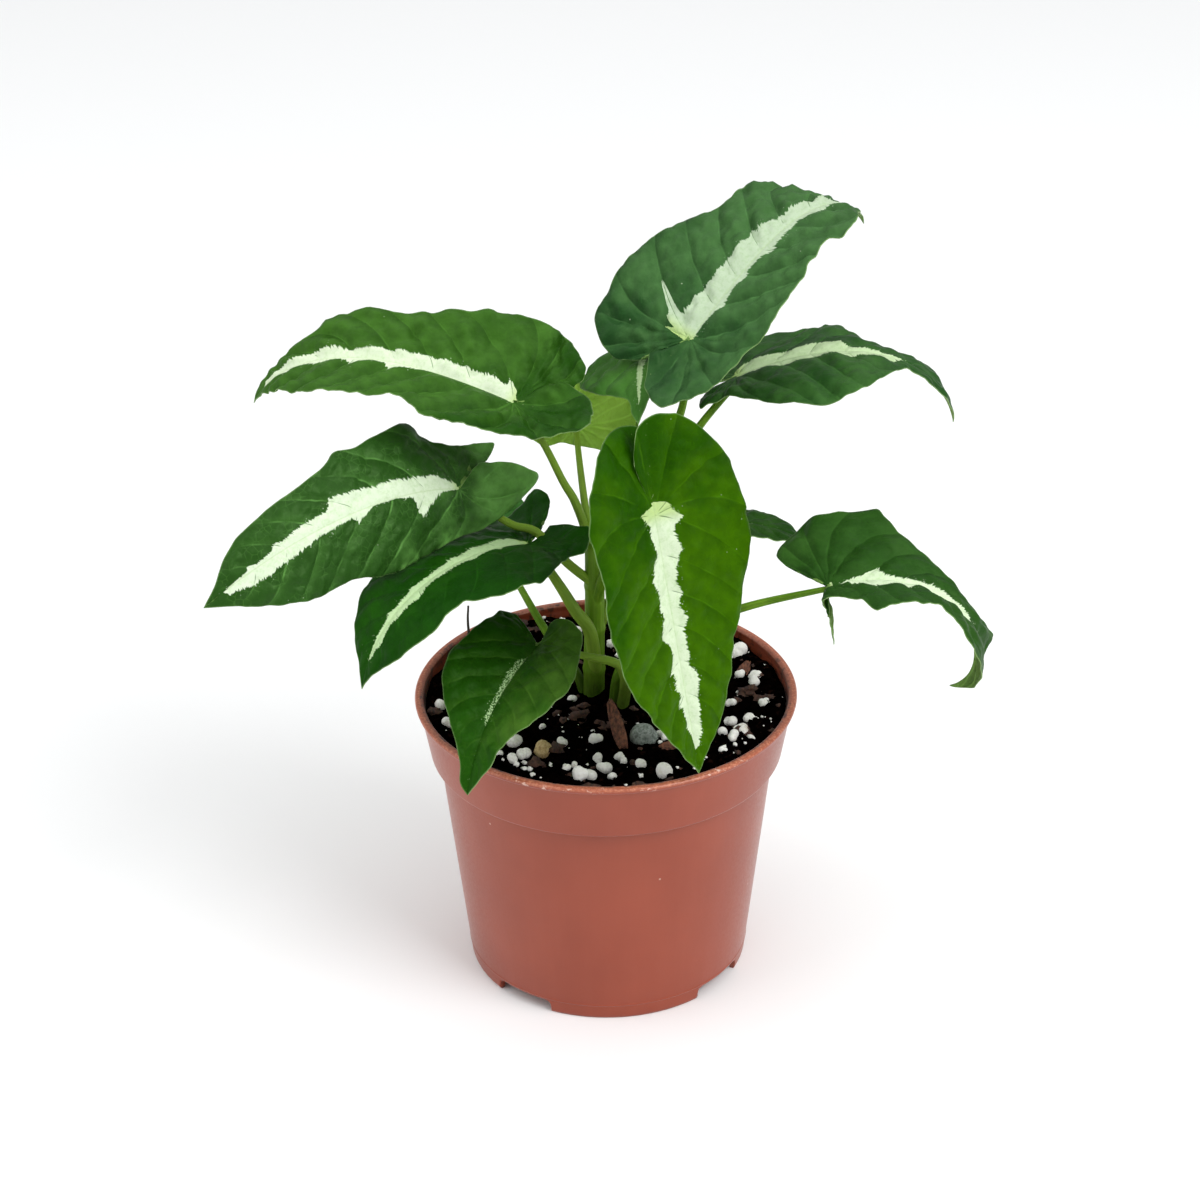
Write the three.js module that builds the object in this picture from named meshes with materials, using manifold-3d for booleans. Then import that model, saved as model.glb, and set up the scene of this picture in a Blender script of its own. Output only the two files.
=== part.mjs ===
// A potted arrowhead vine, Syngonium wendlandii, in a 12 cm nursery pot.
// Millimetres, +Z up. The origin is the centre of the pot's base, on the floor. -Y is the front.
// The pot is a turned shell. The mix is one plug in it. Stems and leaf stalks are one grown body.
// Each leaf blade is a closed sheet whose two halves hang on a curved midrib.

import * as THREE from "three";
import { mergeVertices } from "three/addons/utils/BufferGeometryUtils.js";
import Module from "manifold-3d";

const wasm = await Module();
wasm.setup();

// Pot, driven by the 12 cm rim of a standard nursery pot
const RIM_RADIUS = 60;
const POT_HEIGHT = 94.4;
const COLLAR_FOOT_RADIUS = 55.6;
const COLLAR_FOOT_HEIGHT = 75;
const WALL_TOP_RADIUS = 52.9;
const BASE_RADIUS = 44.5;
const WALL = 1.2;
const FLOOR_UNDERSIDE = 4.8;
const FLOOR_TOP = 6.2;
const FOOT_RING = 1.6;
const POT_SEGMENTS = 40;
const FOOT_NOTCHES = 4;
const FIRST_NOTCH_ANGLE = -127.5;
const NOTCH_SPAN = 26;
const NOTCH_HEIGHT = 4.4;
const DRAIN_HOLE_CIRCLE = 33;
const DRAIN_HOLE_RADIUS = 3.5;

// Potting mix
const FIT_GAP = 0.35;
const SOIL_LEVEL = 89.3;
const SOIL_RINGS = [9, 18, 27, 36, 44, 51];
const SOIL_SEGMENTS = 32;
const CROWN = { x: 0.5, y: 2.5, radius: 11.5, bottom: 74, top: 86.5 };

// Leaf blades
const BLADE_THICKNESS = 0.7;
const COLUMNS = 3;
const ROWS_PER_SPAN = 2;
const STALK_CLEARANCE = 0.4;

// Stations of the margin along the midrib, as fractions of the blade's length
const STATIONS = [0.93, 0.82, 0.68, 0.52, 0.36, 0.2];
// A lobe that hangs turns down within this fraction of its own length
const HANG_REACH = 0.12;
// A side vein starts this much nearer to the stalk than where it meets the margin
const VEIN_LEAN = 0.14;

// One entry a leaf. `at` is where the stalk meets the blade. Angles are in degrees: heading is the
// compass direction of the midrib, pitch its rise at the stalk, turn, droop and sag how both change
// towards the tip, roll and twist the turn about the midrib (right side down is positive).
// For each half: fold is its rise from the midrib, curl how far it bends down again at the margin,
// drop how far the basal lobe hangs, more and more, and hang how far it does so at once. width is
// the half width, lobe the basal lobe's length, and shoulder, back and inner are the lobe's widths
// beside, at and behind its end. edge gives the margin's distance from the midrib at STATIONS.
// These last are fractions of the half width.
const LEAVES = {
  leaf_upper_left: {
    at: [-27, 1, 193], heading: 167, turn: 2, pitch: 21, droop: -22, sag: -62,
    roll: -18, twist: -3, length: 89, wave: { height: 0.9, count: 4, phase: 0.4 },
    right: {
      fold: 5, curl: -16, drop: -42, width: 26, lobe: 23, shoulder: 1.12, back: 0.6, inner: 0.32,
      edge: [0.12, 0.26, 0.6, 0.72, 0.78, 1.04],
    },
    left: {
      fold: 6, curl: -25, drop: -56, width: 26.5, lobe: 28, shoulder: 0.76, back: 0.6, inner: 0.02,
      edge: [0.14, 0.44, 0.74, 0.84, 0.68, 1.06],
    },
  },
  leaf_mid_left: {
    at: [-44, -4.6, 167.1], heading: 228, turn: -28, pitch: 22, droop: -66, sag: 10,
    roll: -52, twist: -1, length: 93, wave: { height: 0.9, count: 4, phase: 2.2 },
    right: {
      fold: -2, curl: 6, drop: -29, width: 21.5, lobe: 24.5, shoulder: 0.72, back: 0.56, inner: 0.35,
      edge: [0.14, 0.44, 0.58, 0.68, 0.9, 1.02],
    },
    left: {
      fold: -10, curl: 22, drop: -60, width: 23, lobe: 26, shoulder: 0.6, back: 0.42, inner: -0.2,
      edge: [0.2, 0.52, 0.76, 0.8, 0.94, 0.86],
    },
  },
  leaf_low_left: {
    at: [-23.5, -6.2, 149], heading: 223, turn: 1, pitch: 19, droop: -59, sag: -38,
    roll: 2, twist: -2, length: 79.5, wave: { height: 0.7, count: 4, phase: 1 },
    right: {
      fold: 0, curl: 4, drop: -60, width: 24, lobe: 26, shoulder: 1, back: 0.92, inner: 0.5,
      edge: [0.1, 0.4, 0.68, 0.86, 1, 0.98],
    },
    left: {
      fold: 1, curl: 5, drop: -60, width: 24.5, lobe: 21, shoulder: 0.68, back: 0.6, inner: 0.14,
      edge: [0.14, 0.46, 0.66, 0.7, 1.02, 1.02],
    },
  },
  leaf_small_front: {
    at: [-20.5, -24, 123.5], heading: 240, turn: 2, pitch: -5, droop: -46, sag: -26,
    roll: -3, twist: -4, length: 55.5, wave: { height: 0.5, count: 3, phase: 0 },
    right: {
      fold: 19, curl: 2, drop: -1, width: 19, lobe: 8, shoulder: 0.9, back: 0.8, inner: 0.42,
      edge: [0.14, 0.22, 0.48, 0.86, 1.04, 1.02],
    },
    left: {
      fold: 18, curl: 11, drop: -60, width: 18.5, lobe: 12.5, shoulder: 0.84, back: 0.42, inner: 0,
      edge: [0.14, 0.34, 0.48, 0.86, 1.08, 1.08],
    },
  },
  leaf_front: {
    at: [14.5, -39, 175], heading: -54, turn: 0, pitch: -74, droop: -1, sag: 2,
    roll: -4, twist: 0, length: 80, wave: { height: 0.5, count: 4, phase: 2 },
    right: {
      fold: 12, curl: 5, drop: 26, width: 27, lobe: 28, shoulder: 0.91, back: 0.17, inner: 0.06,
      edge: [0.16, 0.4, 0.68, 0.9, 0.98, 0.98],
    },
    left: {
      fold: 11, curl: 4, drop: -14, width: 27, lobe: 29.7, shoulder: 0.98, back: 0.12, inner: 0.03,
      edge: [0.14, 0.4, 0.58, 0.76, 0.96, 1.12],
    },
  },
  leaf_top: {
    at: [26, 8, 210], heading: 37, turn: 3, pitch: 39, droop: 2, sag: -105,
    roll: 16, twist: -18, length: 83, wave: { height: 0.7, count: 4, phase: 0.8 },
    right: {
      fold: -5, curl: -28, drop: -32, width: 23, lobe: 23.5, shoulder: 0.88, back: 0.54, inner: -0.2,
      edge: [0.1, 0.38, 0.8, 0.76, 0.96, 1],
    },
    left: {
      fold: -3, curl: -17, drop: 7, width: 30.5, lobe: 17.5, shoulder: 1.08, back: 0.64, inner: 0.38,
      edge: [0.1, 0.28, 0.76, 0.8, 0.98, 1.14],
    },
  },
  leaf_right: {
    at: [41.5, 25, 190], heading: 1, turn: -3, pitch: 25, droop: -48, sag: -62,
    roll: -3, twist: 0, length: 79.5, wave: { height: 0.8, count: 4, phase: 1.6 },
    right: {
      fold: 5, curl: 27, drop: -3, width: 24.5, lobe: 15.5, shoulder: 0.68, back: 0.6, inner: 0.2,
      edge: [0.12, 0.3, 0.36, 0.8, 1.08, 1.12],
    },
    left: {
      fold: 4, curl: 9, drop: 0, width: 23.5, lobe: 21, shoulder: 0.92, back: 0.6, inner: 0.18,
      edge: [0.12, 0.34, 0.38, 0.62, 1.04, 1.02],
    },
  },
  leaf_low_right: {
    at: [66, -37.5, 150], heading: -7, turn: -20, pitch: 21, droop: -81, sag: -99,
    roll: 1, twist: -23, length: 71, wave: { height: 0.7, count: 4, phase: 2.6 },
    right: {
      fold: 18, curl: 50, drop: -45, hang: 112, width: 25, lobe: 13.5, shoulder: 0.44, back: 0.5,
      inner: 0.26, edge: [0.1, 0.36, 0.6, 0.52, 0.66, 0.72],
    },
    left: {
      fold: 19, curl: -6, drop: 5, width: 25, lobe: 15.5, shoulder: 1.12, back: 0.8, inner: 0.43,
      edge: [0.1, 0.38, 0.42, 0.38, 0.58, 1.04],
    },
  },
  leaf_centre_back: {
    at: [14.5, 44.7, 202.7], heading: -97, turn: 5, pitch: 4, droop: -23, sag: -23,
    roll: 22, twist: -2, length: 57, wave: { height: 0.5, count: 3, phase: 1 },
    right: {
      fold: -7, curl: 7, drop: 0, width: 20, lobe: 16, shoulder: 1, back: 0.6, inner: 0.18,
      edge: [0.1, 0.22, 0.8, 1.12, 1.04, 0.82],
    },
    left: {
      fold: 2, curl: 9, drop: 0, width: 15, lobe: 14, shoulder: 1.1, back: 0.6, inner: 0.18,
      edge: [0.12, 0.3, 0.42, 0.5, 0.95, 1.05],
    },
  },
  leaf_pale_back: {
    at: [-8.5, 42.3, 166], heading: -103, turn: -1, pitch: 80, droop: -5, sag: -1,
    roll: 12, twist: 0, length: 31, wave: { height: 0.5, count: 3, phase: 2 },
    right: {
      fold: 14, curl: 9, drop: -1, width: 16.5, lobe: 9, shoulder: 1.02, back: 0.58, inner: 0.18,
      edge: [0.1, 0.34, 0.62, 0.86, 0.98, 1],
    },
    left: {
      fold: 19, curl: 7, drop: 8, width: 19, lobe: 11, shoulder: 1.06, back: 0.52, inner: 0.02,
      edge: [0.1, 0.3, 0.56, 0.8, 0.96, 1],
    },
  },
  leaf_hidden_left: {
    at: [-38.5, 48, 129.5], heading: 164, turn: 2, pitch: 20, droop: -48, sag: -7,
    roll: -19, twist: -2, length: 47, wave: { height: 0.5, count: 3, phase: 0.5 },
    right: {
      fold: 13, curl: 9, drop: 0, width: 15, lobe: 11, shoulder: 1, back: 0.6, inner: 0.18,
      edge: [0.1, 0.36, 0.68, 0.92, 1, 0.96],
    },
    left: {
      fold: 8, curl: 11, drop: 0, width: 15, lobe: 11, shoulder: 1, back: 0.6, inner: 0.18,
      edge: [0.1, 0.36, 0.68, 0.92, 1, 0.96],
    },
  },
  leaf_behind_front: {
    at: [20, 22, 139.5], heading: -8, turn: -3, pitch: 18, droop: -33, sag: -16,
    roll: -7, twist: 7, length: 45.5, wave: { height: 0.5, count: 3, phase: 1.5 },
    right: {
      fold: 4, curl: 10, drop: 0, width: 15, lobe: 14, shoulder: 1, back: 0.6, inner: 0.18,
      edge: [0.12, 0.46, 0.6, 0.9, 1, 0.96],
    },
    left: {
      fold: 3, curl: 16, drop: 0, width: 15, lobe: 14, shoulder: 1, back: 0.6, inner: 0.18,
      edge: [0.12, 0.42, 0.62, 0.9, 1, 0.96],
    },
  },
};

// The stem rises from the root crown. Each stalk starts inside the stem or the crown, follows its
// points, and ends just under its blade, or that far aside from the midrib, away from a hanging lobe.
const STEM = { path: [[-3.8, 5.5, 78], [-3.6, 5, 100], [-3.2, 4, 122], [-3.2, 3, 144]], radii: [3.5, 2.9] };
const STALKS = {
  leaf_upper_left: {
    path: [[-3.3, 3, 136], [-5.2, 4.2, 146.3], [-8.8, 2, 159], [-12.4, 0.5, 166.8], [-18.8, -1, 181.6]],
    radii: [1.5, 0.85],
  },
  leaf_pale_back: {
    path: [[-3.2, 3.5, 136], [-3.8, 4, 146], [-5.6, 6.5, 154], [-7, 18, 160.2], [-8, 31, 164]],
    radii: [1.3, 0.8],
  },
  leaf_mid_left: {
    path: [[-3, 3, 130], [-11.3, 1, 138.5], [-20.6, 1.4, 149], [-27.7, 2.6, 151], [-35, 5, 154.6]],
    radii: [1.5, 0.9],
  },
  leaf_low_left: {
    path: [[-3, 4, 98], [-4.8, 0, 114.9], [-9.3, -2.5, 124], [-13.8, -4, 133.3], [-19, -5.4, 142.6]],
    radii: [2.2, 0.9],
  },
  leaf_hidden_left: {
    path: [[-6, 6, 82], [-8.5, 8, 94], [-15, 14, 101], [-20, 19, 107], [-27, 28, 116]],
    radii: [1.6, 0.9],
  },
  leaf_small_front: {
    path: [[4, -1, 82], [6, -4, 96], [5.8, -8, 104], [3, -12, 110.5], [-6.5, -17, 116]],
    radii: [2, 0.8],
  },
  leaf_top: {
    path: [[-3, 3, 136], [0, 3, 144], [11, 4, 162], [19.5, 5, 178], [24, 5.5, 190]],
    radii: [1.6, 1],
  },
  leaf_right: {
    path: [[-2.6, 4, 130], [0.4, 4.5, 139], [11, 6.5, 154.5], [21, 12, 166.5], [31, 18.5, 178.5]],
    radii: [1.6, 1],
  },
  leaf_low_right: {
    path: [[2.5, 1, 82], [4.5, -3, 102], [13.7, -10, 117], [27, -19, 127.8], [45, -27.4, 139]],
    radii: [2, 0.85], aside: 1,
  },
  leaf_front: {
    path: [[-2.8, 3, 124], [0, -3, 137], [5, -13, 150], [10, -26, 162]],
    radii: [1.7, 1],
  },
  leaf_centre_back: {
    path: [[-2.9, 4.5, 130], [1, 16, 143], [5, 36, 150], [10, 53.5, 160], [12.5, 54, 180]],
    radii: [1.5, 0.8],
  },
  leaf_behind_front: {
    path: [[-2.6, 4, 110], [2, 7, 124], [9, 13, 132]],
    radii: [1.4, 0.8],
  },
};
const STALK_SIDES = 6;

// Loose pieces on the mix: place, and size across
const PERLITE = [
  [-5, -42.5, 4.4], [-0.6, -38.5, 5], [4.1, -31.5, 4], [-28.2, -25, 5.6], [-25.5, -34, 4.6],
  [-3, -23, 4.6], [10.1, -37.5, 4], [43.4, 28.4, 6.2], [47.6, 14, 4.6], [50, -1.8, 4.4],
  [41.3, -20, 5.4], [44.8, -10.9, 4.4], [-44, 8, 5], [-34, 27, 4.6], [-10, 44, 5], [22, 43, 4.8],
];
const TAN_STONE = [-19, -30.6, 6.6];
const GREY_LUMP = [12.5, -21, 9];
// Bark chips: place, length, width, compass angle, tilt
const BARK = [
  [3.2, -20.5, 17, 5, 108, 37], [21, -27, 10, 5, 20, 6], [44.5, 20, 9, 5, 70, 8],
  [33, 31, 11, 5, 120, 6], [-40, -12, 10, 4.5, 60, 6],
];
const BARK_THICKNESS = 2;
const DRY_STALK = {
  path: [[-43.6, 31.5, 84], [-43.8, 33, 91], [-44.4, 36, 99], [-44.2, 38, 104]],
  radius: 0.55,
};

const GREEN = { color: 0x1f5a24, roughness: 0.45, metalness: 0 };
const BRIGHT_GREEN = { color: 0x2f7a1c, roughness: 0.42, metalness: 0 };
const PALE_GREEN = { color: 0x7a9f50, roughness: 0.55, metalness: 0 };
const OLIVE = { color: 0x6f8a3c, roughness: 0.5, metalness: 0 };
const TERRACOTTA = { color: 0xb4674f, roughness: 0.42, metalness: 0 };
const MIX = { color: 0x17120f, roughness: 0.95, metalness: 0 };
const WHITE_GRIT = { color: 0xe6e3da, roughness: 0.9, metalness: 0 };
const TAN = { color: 0xc2a878, roughness: 0.9, metalness: 0 };
const GREY = { color: 0x7f8682, roughness: 0.9, metalness: 0 };
const BARK_BROWN = { color: 0x6a3d2a, roughness: 0.9, metalness: 0 };
const DRY_BROWN = { color: 0x3a2a20, roughness: 0.85, metalness: 0 };

const plant = new THREE.Group();

const radians = THREE.MathUtils.degToRad;
const vector = (p) => new THREE.Vector3(...p);
const mix = THREE.MathUtils.lerp;

// A closed geometry as a solid for cutting and joining, turned outwards where it faces inwards.
function solidOf(geometry) {
  const bare = new THREE.BufferGeometry();
  bare.setAttribute("position", geometry.getAttribute("position"));
  bare.setIndex(geometry.index);
  const merged = mergeVertices(bare, 1e-3);
  const kept = [];
  const index = merged.index.array;
  for (let i = 0; i < index.length; i += 3) {
    const [a, b, c] = [index[i], index[i + 1], index[i + 2]];
    if (a !== b && b !== c && c !== a) kept.push(a, b, c);
  }
  const vertProperties = Float32Array.from(merged.attributes.position.array);
  const make = (triVerts) => new wasm.Manifold(new wasm.Mesh({ numProp: 3, vertProperties, triVerts }));
  const solid = make(Uint32Array.from(kept));
  if (solid.volume() > 0) return solid;
  return make(Uint32Array.from(kept.reverse()));
}

// The solid's surface as a three.js geometry.
function geometryOf(solid) {
  const mesh = solid.getMesh();
  const geometry = new THREE.BufferGeometry();
  geometry.setAttribute("position", new THREE.BufferAttribute(mesh.vertProperties, 3));
  geometry.setIndex(new THREE.BufferAttribute(mesh.triVerts, 1));
  geometry.computeVertexNormals();
  return geometry;
}

function addNode(name, geometry, finish) {
  const mesh = new THREE.Mesh(geometry, new THREE.MeshStandardMaterial(finish));
  mesh.name = name;
  plant.add(mesh);
}

// A profile of [radius, height] points turned about the Z axis.
function turned(profile, segments) {
  const points = profile.map(([r, z]) => new THREE.Vector2(r, z));
  return new THREE.LatheGeometry(points, segments).rotateX(Math.PI / 2);
}

// A tube with round ends of polygons along a smooth path, its radius changing from end to end.
function taperedTube(path, [startRadius, endRadius], sides, stepsPerSpan) {
  const curve = new THREE.CatmullRomCurve3(path.map(vector), false, "catmullrom", 0.5);
  const steps = (path.length - 1) * stepsPerSpan;
  const positions = [];
  const index = [];
  let across = new THREE.Vector3(1, 0, 0);
  for (let i = 0; i <= steps; i++) {
    const along = curve.getTangent(i / steps);
    across = across.clone().addScaledVector(along, -across.dot(along)).normalize();
    const other = new THREE.Vector3().crossVectors(along, across);
    const radius = mix(startRadius, endRadius, i / steps);
    for (let k = 0; k < sides; k++) {
      const angle = (2 * Math.PI * k) / sides;
      const p = curve.getPoint(i / steps);
      p.addScaledVector(across, radius * Math.cos(angle));
      p.addScaledVector(other, radius * Math.sin(angle));
      positions.push(p.x, p.y, p.z);
    }
  }
  for (let i = 0; i < steps; i++) {
    for (let k = 0; k < sides; k++) {
      const a = i * sides + k;
      const b = i * sides + ((k + 1) % sides);
      index.push(a, b, b + sides, a, b + sides, a + sides);
    }
  }
  for (let k = 1; k < sides - 1; k++) {
    index.push(0, k + 1, k);
    index.push(steps * sides, steps * sides + k, steps * sides + k + 1);
  }
  const geometry = new THREE.BufferGeometry();
  geometry.setAttribute("position", new THREE.Float32BufferAttribute(positions, 3));
  geometry.setIndex(index);
  return geometry;
}

// Pot: rim lip, tapering collar with a sharp lower edge, ledge, body wall, foot ring, raised floor
function potSolid() {
  const collarTop = RIM_RADIUS - 1.4;
  const profile = [
    [0, FLOOR_UNDERSIDE],
    [BASE_RADIUS - FOOT_RING - 0.3, FLOOR_UNDERSIDE],
    [BASE_RADIUS - FOOT_RING, 0],
    [BASE_RADIUS - 0.2, 0],
    [BASE_RADIUS + 0.2, 1],
    [BASE_RADIUS + 0.5, 4.8],
    [BASE_RADIUS + 0.8, 5.1],
    [BASE_RADIUS + 0.7, 5.7],
    [WALL_TOP_RADIUS, COLLAR_FOOT_HEIGHT - 0.8],
    [COLLAR_FOOT_RADIUS - 0.3, COLLAR_FOOT_HEIGHT],
    [COLLAR_FOOT_RADIUS, COLLAR_FOOT_HEIGHT + 0.5],
    [collarTop, POT_HEIGHT - 2.2],
    [RIM_RADIUS - 0.2, POT_HEIGHT - 1.6],
    [RIM_RADIUS, POT_HEIGHT - 0.6],
    [RIM_RADIUS - 0.5, POT_HEIGHT],
    [RIM_RADIUS - 2.2, POT_HEIGHT],
    [RIM_RADIUS - 2.8, POT_HEIGHT - 0.6],
    [collarTop - WALL, POT_HEIGHT - 2.4],
    [COLLAR_FOOT_RADIUS - WALL, COLLAR_FOOT_HEIGHT + 1.6],
    [WALL_TOP_RADIUS - WALL, COLLAR_FOOT_HEIGHT - 0.4],
    [BASE_RADIUS + 0.5 - WALL, FLOOR_TOP + 1.5],
    [BASE_RADIUS - 1 - WALL, FLOOR_TOP],
    [0, FLOOR_TOP],
  ];
  let pot = solidOf(turned(profile, POT_SEGMENTS));
  for (let i = 0; i < FOOT_NOTCHES; i++) {
    const angle = radians(FIRST_NOTCH_ANGLE + (360 / FOOT_NOTCHES) * i);
    pot = pot.subtract(notchCutter(angle));
    pot = pot.subtract(drainHoleCutter(angle));
  }
  return pot.subtract(drainHoleCutter(0, 0));
}

// An arch with round upper corners, pushed out through the foot ring.
function notchCutter(angle) {
  const half = (BASE_RADIUS + 1) * Math.sin(radians(NOTCH_SPAN / 2));
  const corner = 3;
  const arch = new THREE.Shape();
  arch.moveTo(-half, -1);
  arch.lineTo(half, -1);
  arch.lineTo(half, NOTCH_HEIGHT - corner);
  arch.quadraticCurveTo(half, NOTCH_HEIGHT, half - corner, NOTCH_HEIGHT);
  arch.lineTo(corner - half, NOTCH_HEIGHT);
  arch.quadraticCurveTo(-half, NOTCH_HEIGHT, -half, NOTCH_HEIGHT - corner);
  const depth = 8;
  const block = new THREE.ExtrudeGeometry(arch, { depth, bevelEnabled: false, curveSegments: 4 });
  block.rotateX(Math.PI / 2);
  block.rotateZ(Math.PI / 2);
  block.translate(BASE_RADIUS - 5, 0, 0);
  block.rotateZ(angle);
  return solidOf(block);
}

function drainHoleCutter(angle, circle = DRAIN_HOLE_CIRCLE) {
  const hole = new THREE.CylinderGeometry(DRAIN_HOLE_RADIUS, DRAIN_HOLE_RADIUS, 6, 14);
  hole.rotateX(Math.PI / 2);
  hole.translate(circle * Math.cos(angle), circle * Math.sin(angle), FLOOR_TOP - 1);
  return solidOf(hole);
}

// Height of the mix, a gently lumpy field.
function soilHeight(x, y) {
  const swell = 0.8 * Math.sin(0.11 * x + 1) * Math.cos(0.09 * y);
  const lumps = 0.5 * Math.sin(0.31 * x - 0.23 * y + 2) + 0.3 * Math.sin(0.47 * y + 0.2 * x);
  return SOIL_LEVEL + swell + lumps;
}

// Mix: the lumpy field on rings, closed by the inside of the pot less the gap.
function soilPlug() {
  const sides = [
    [COLLAR_FOOT_RADIUS - WALL - 0.6, COLLAR_FOOT_HEIGHT + 2.2],
    [WALL_TOP_RADIUS - WALL - 0.6, COLLAR_FOOT_HEIGHT + 0.1],
    [BASE_RADIUS - 0.1 - WALL, FLOOR_TOP + 1.7],
    [BASE_RADIUS - 1.6 - WALL, FLOOR_TOP + FIT_GAP],
  ];
  const top = [...SOIL_RINGS, RIM_RADIUS - 3.8];
  const rings = [...top.map((r) => [r, null]), ...sides];
  const positions = [0, 0, soilHeight(0, 0)];
  for (const [r, z] of rings) {
    for (let k = 0; k < SOIL_SEGMENTS; k++) {
      const angle = (2 * Math.PI * k) / SOIL_SEGMENTS;
      const [x, y] = [r * Math.cos(angle), r * Math.sin(angle)];
      positions.push(x, y, z ?? soilHeight(x, y));
    }
  }
  positions.push(0, 0, FLOOR_TOP + FIT_GAP);
  const last = rings.length * SOIL_SEGMENTS + 1;
  const index = [];
  for (let k = 0; k < SOIL_SEGMENTS; k++) {
    const next = (k + 1) % SOIL_SEGMENTS;
    index.push(0, 1 + k, 1 + next);
    for (let ring = 0; ring < rings.length - 1; ring++) {
      const a = 1 + ring * SOIL_SEGMENTS;
      const b = a + SOIL_SEGMENTS;
      index.push(a + k, b + k, b + next, a + k, b + next, a + next);
    }
    const foot = 1 + (rings.length - 1) * SOIL_SEGMENTS;
    index.push(last, foot + next, foot + k);
  }
  const geometry = new THREE.BufferGeometry();
  geometry.setAttribute("position", new THREE.Float32BufferAttribute(positions, 3));
  geometry.setIndex(index);
  return solidOf(geometry);
}

// An irregular lump: a sphere of triangles whose points move in and out by a smooth formula.
// With a margin it is the bed that the lump lies in.
function lump(x, y, size, seed, margin) {
  const geometry = new THREE.IcosahedronGeometry(size / 2 + margin, 1);
  const position = geometry.getAttribute("position");
  for (let i = 0; i < position.count; i++) {
    const p = new THREE.Vector3().fromBufferAttribute(position, i);
    const n = p.clone().normalize();
    const swell = 1 + 0.12 * Math.sin(3 * n.x + seed) + 0.1 * Math.cos(4 * n.y + 2 * seed) * n.z;
    p.multiplyScalar(swell);
    position.setXYZ(i, p.x, p.y, 0.85 * p.z);
  }
  geometry.rotateZ(seed);
  geometry.translate(x, y, soilHeight(x, y) + 0.2 * size);
  return geometry;
}

// A bark chip: a six-cornered slab, tilted. With a margin it is the chip's bed.
function barkChip(x, y, length, width, compass, tilt, margin) {
  const [a, b] = [0.5 * length + margin, 0.5 * width + margin];
  const depth = BARK_THICKNESS + 2 * margin;
  const outline = new THREE.Shape();
  outline.moveTo(-a, -0.6 * b);
  outline.lineTo(-0.2 * a, -b);
  outline.lineTo(0.85 * a, -0.8 * b);
  outline.lineTo(a, 0.2 * b);
  outline.lineTo(0.4 * a, b);
  outline.lineTo(-0.9 * a, 0.8 * b);
  const chip = new THREE.ExtrudeGeometry(outline, { depth, bevelEnabled: false });
  chip.translate(0, 0, -depth / 2);
  chip.rotateY(-radians(tilt));
  chip.rotateZ(radians(compass));
  const lift = 0.5 * length * Math.sin(radians(tilt)) - 1;
  chip.translate(x, y, soilHeight(x, y) + Math.max(lift, 0.4));
  return chip;
}

// The dry stalk, or with a margin the hole it stands in.
function dryStalk(margin) {
  const [foot, ...rest] = DRY_STALK.path;
  const path = [[foot[0], foot[1], foot[2] - margin], ...rest];
  return taperedTube(path, [DRY_STALK.radius + margin, 0.6 * DRY_STALK.radius + margin], 6, 2);
}

// Margin of one half blade in the flat: [along the midrib, away from it], from the tip round to the
// inner corner of the basal lobe, as a smooth curve through its stations.
function marginCurve(leaf, half) {
  const { length } = leaf;
  const { width, lobe, shoulder, back, inner, edge } = half;
  const points = [
    [length, 0],
    ...STATIONS.map((station, i) => [station * length, edge[i] * width]),
    [-0.12 * lobe, shoulder * width],
    [-0.62 * lobe, 0.93 * shoulder * width],
    [-lobe, back * width],
    [-0.7 * lobe, inner * width],
  ].map(([s, t]) => new THREE.Vector3(s, t, 0));
  return new THREE.CatmullRomCurve3(points, false, "catmullrom", 0.5);
}

// Where the rows of both halves start on the midrib, as fractions of the length, 0 at the stalk.
function rowStarts() {
  const spans = STATIONS.length + 4;
  const stations = [1, ...STATIONS, ...Array(spans - STATIONS.length).fill(0)];
  const starts = [];
  for (let row = 0; row <= spans * ROWS_PER_SPAN; row++) {
    const span = Math.min(Math.floor(row / ROWS_PER_SPAN), spans - 1);
    const station = mix(stations[span], stations[span + 1], row / ROWS_PER_SPAN - span);
    starts.push(Math.max(0, (1 + VEIN_LEAN) * station - VEIN_LEAN));
  }
  return starts;
}

// The midrib's point, right-hand side and upper normal at distance s from the stalk. The direction
// is added up in small steps, since heading and pitch change along it.
function midribFrame(leaf, half, s) {
  const steps = 40;
  const direction = (distance) => {
    const u = Math.max(distance / leaf.length, 0);
    const b = Math.max(-distance / half.lobe, 0);
    const lobePitch = half.drop * b + (half.hang ?? 0) * Math.min(b / HANG_REACH, 1);
    const pitch = radians(leaf.pitch + leaf.droop * u + leaf.sag * u ** 3 + lobePitch);
    const heading = radians(leaf.heading + leaf.turn * u);
    const flat = Math.cos(pitch);
    const along = new THREE.Vector3(flat * Math.cos(heading), flat * Math.sin(heading), Math.sin(pitch));
    return { along, heading, roll: radians(leaf.roll + leaf.twist * u) };
  };
  const point = vector(leaf.at);
  for (let i = 0; i < steps; i++) {
    point.addScaledVector(direction((s * (i + 0.5)) / steps).along, s / steps);
  }
  const { along, heading, roll } = direction(s);
  const level = new THREE.Vector3(Math.sin(heading), -Math.cos(heading), 0);
  const up = new THREE.Vector3().crossVectors(level, along);
  const side = level.clone().multiplyScalar(Math.cos(roll)).addScaledVector(up, -Math.sin(roll));
  const normal = up.multiplyScalar(Math.cos(roll)).addScaledVector(level, Math.sin(roll));
  return { point, side, normal };
}

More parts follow.
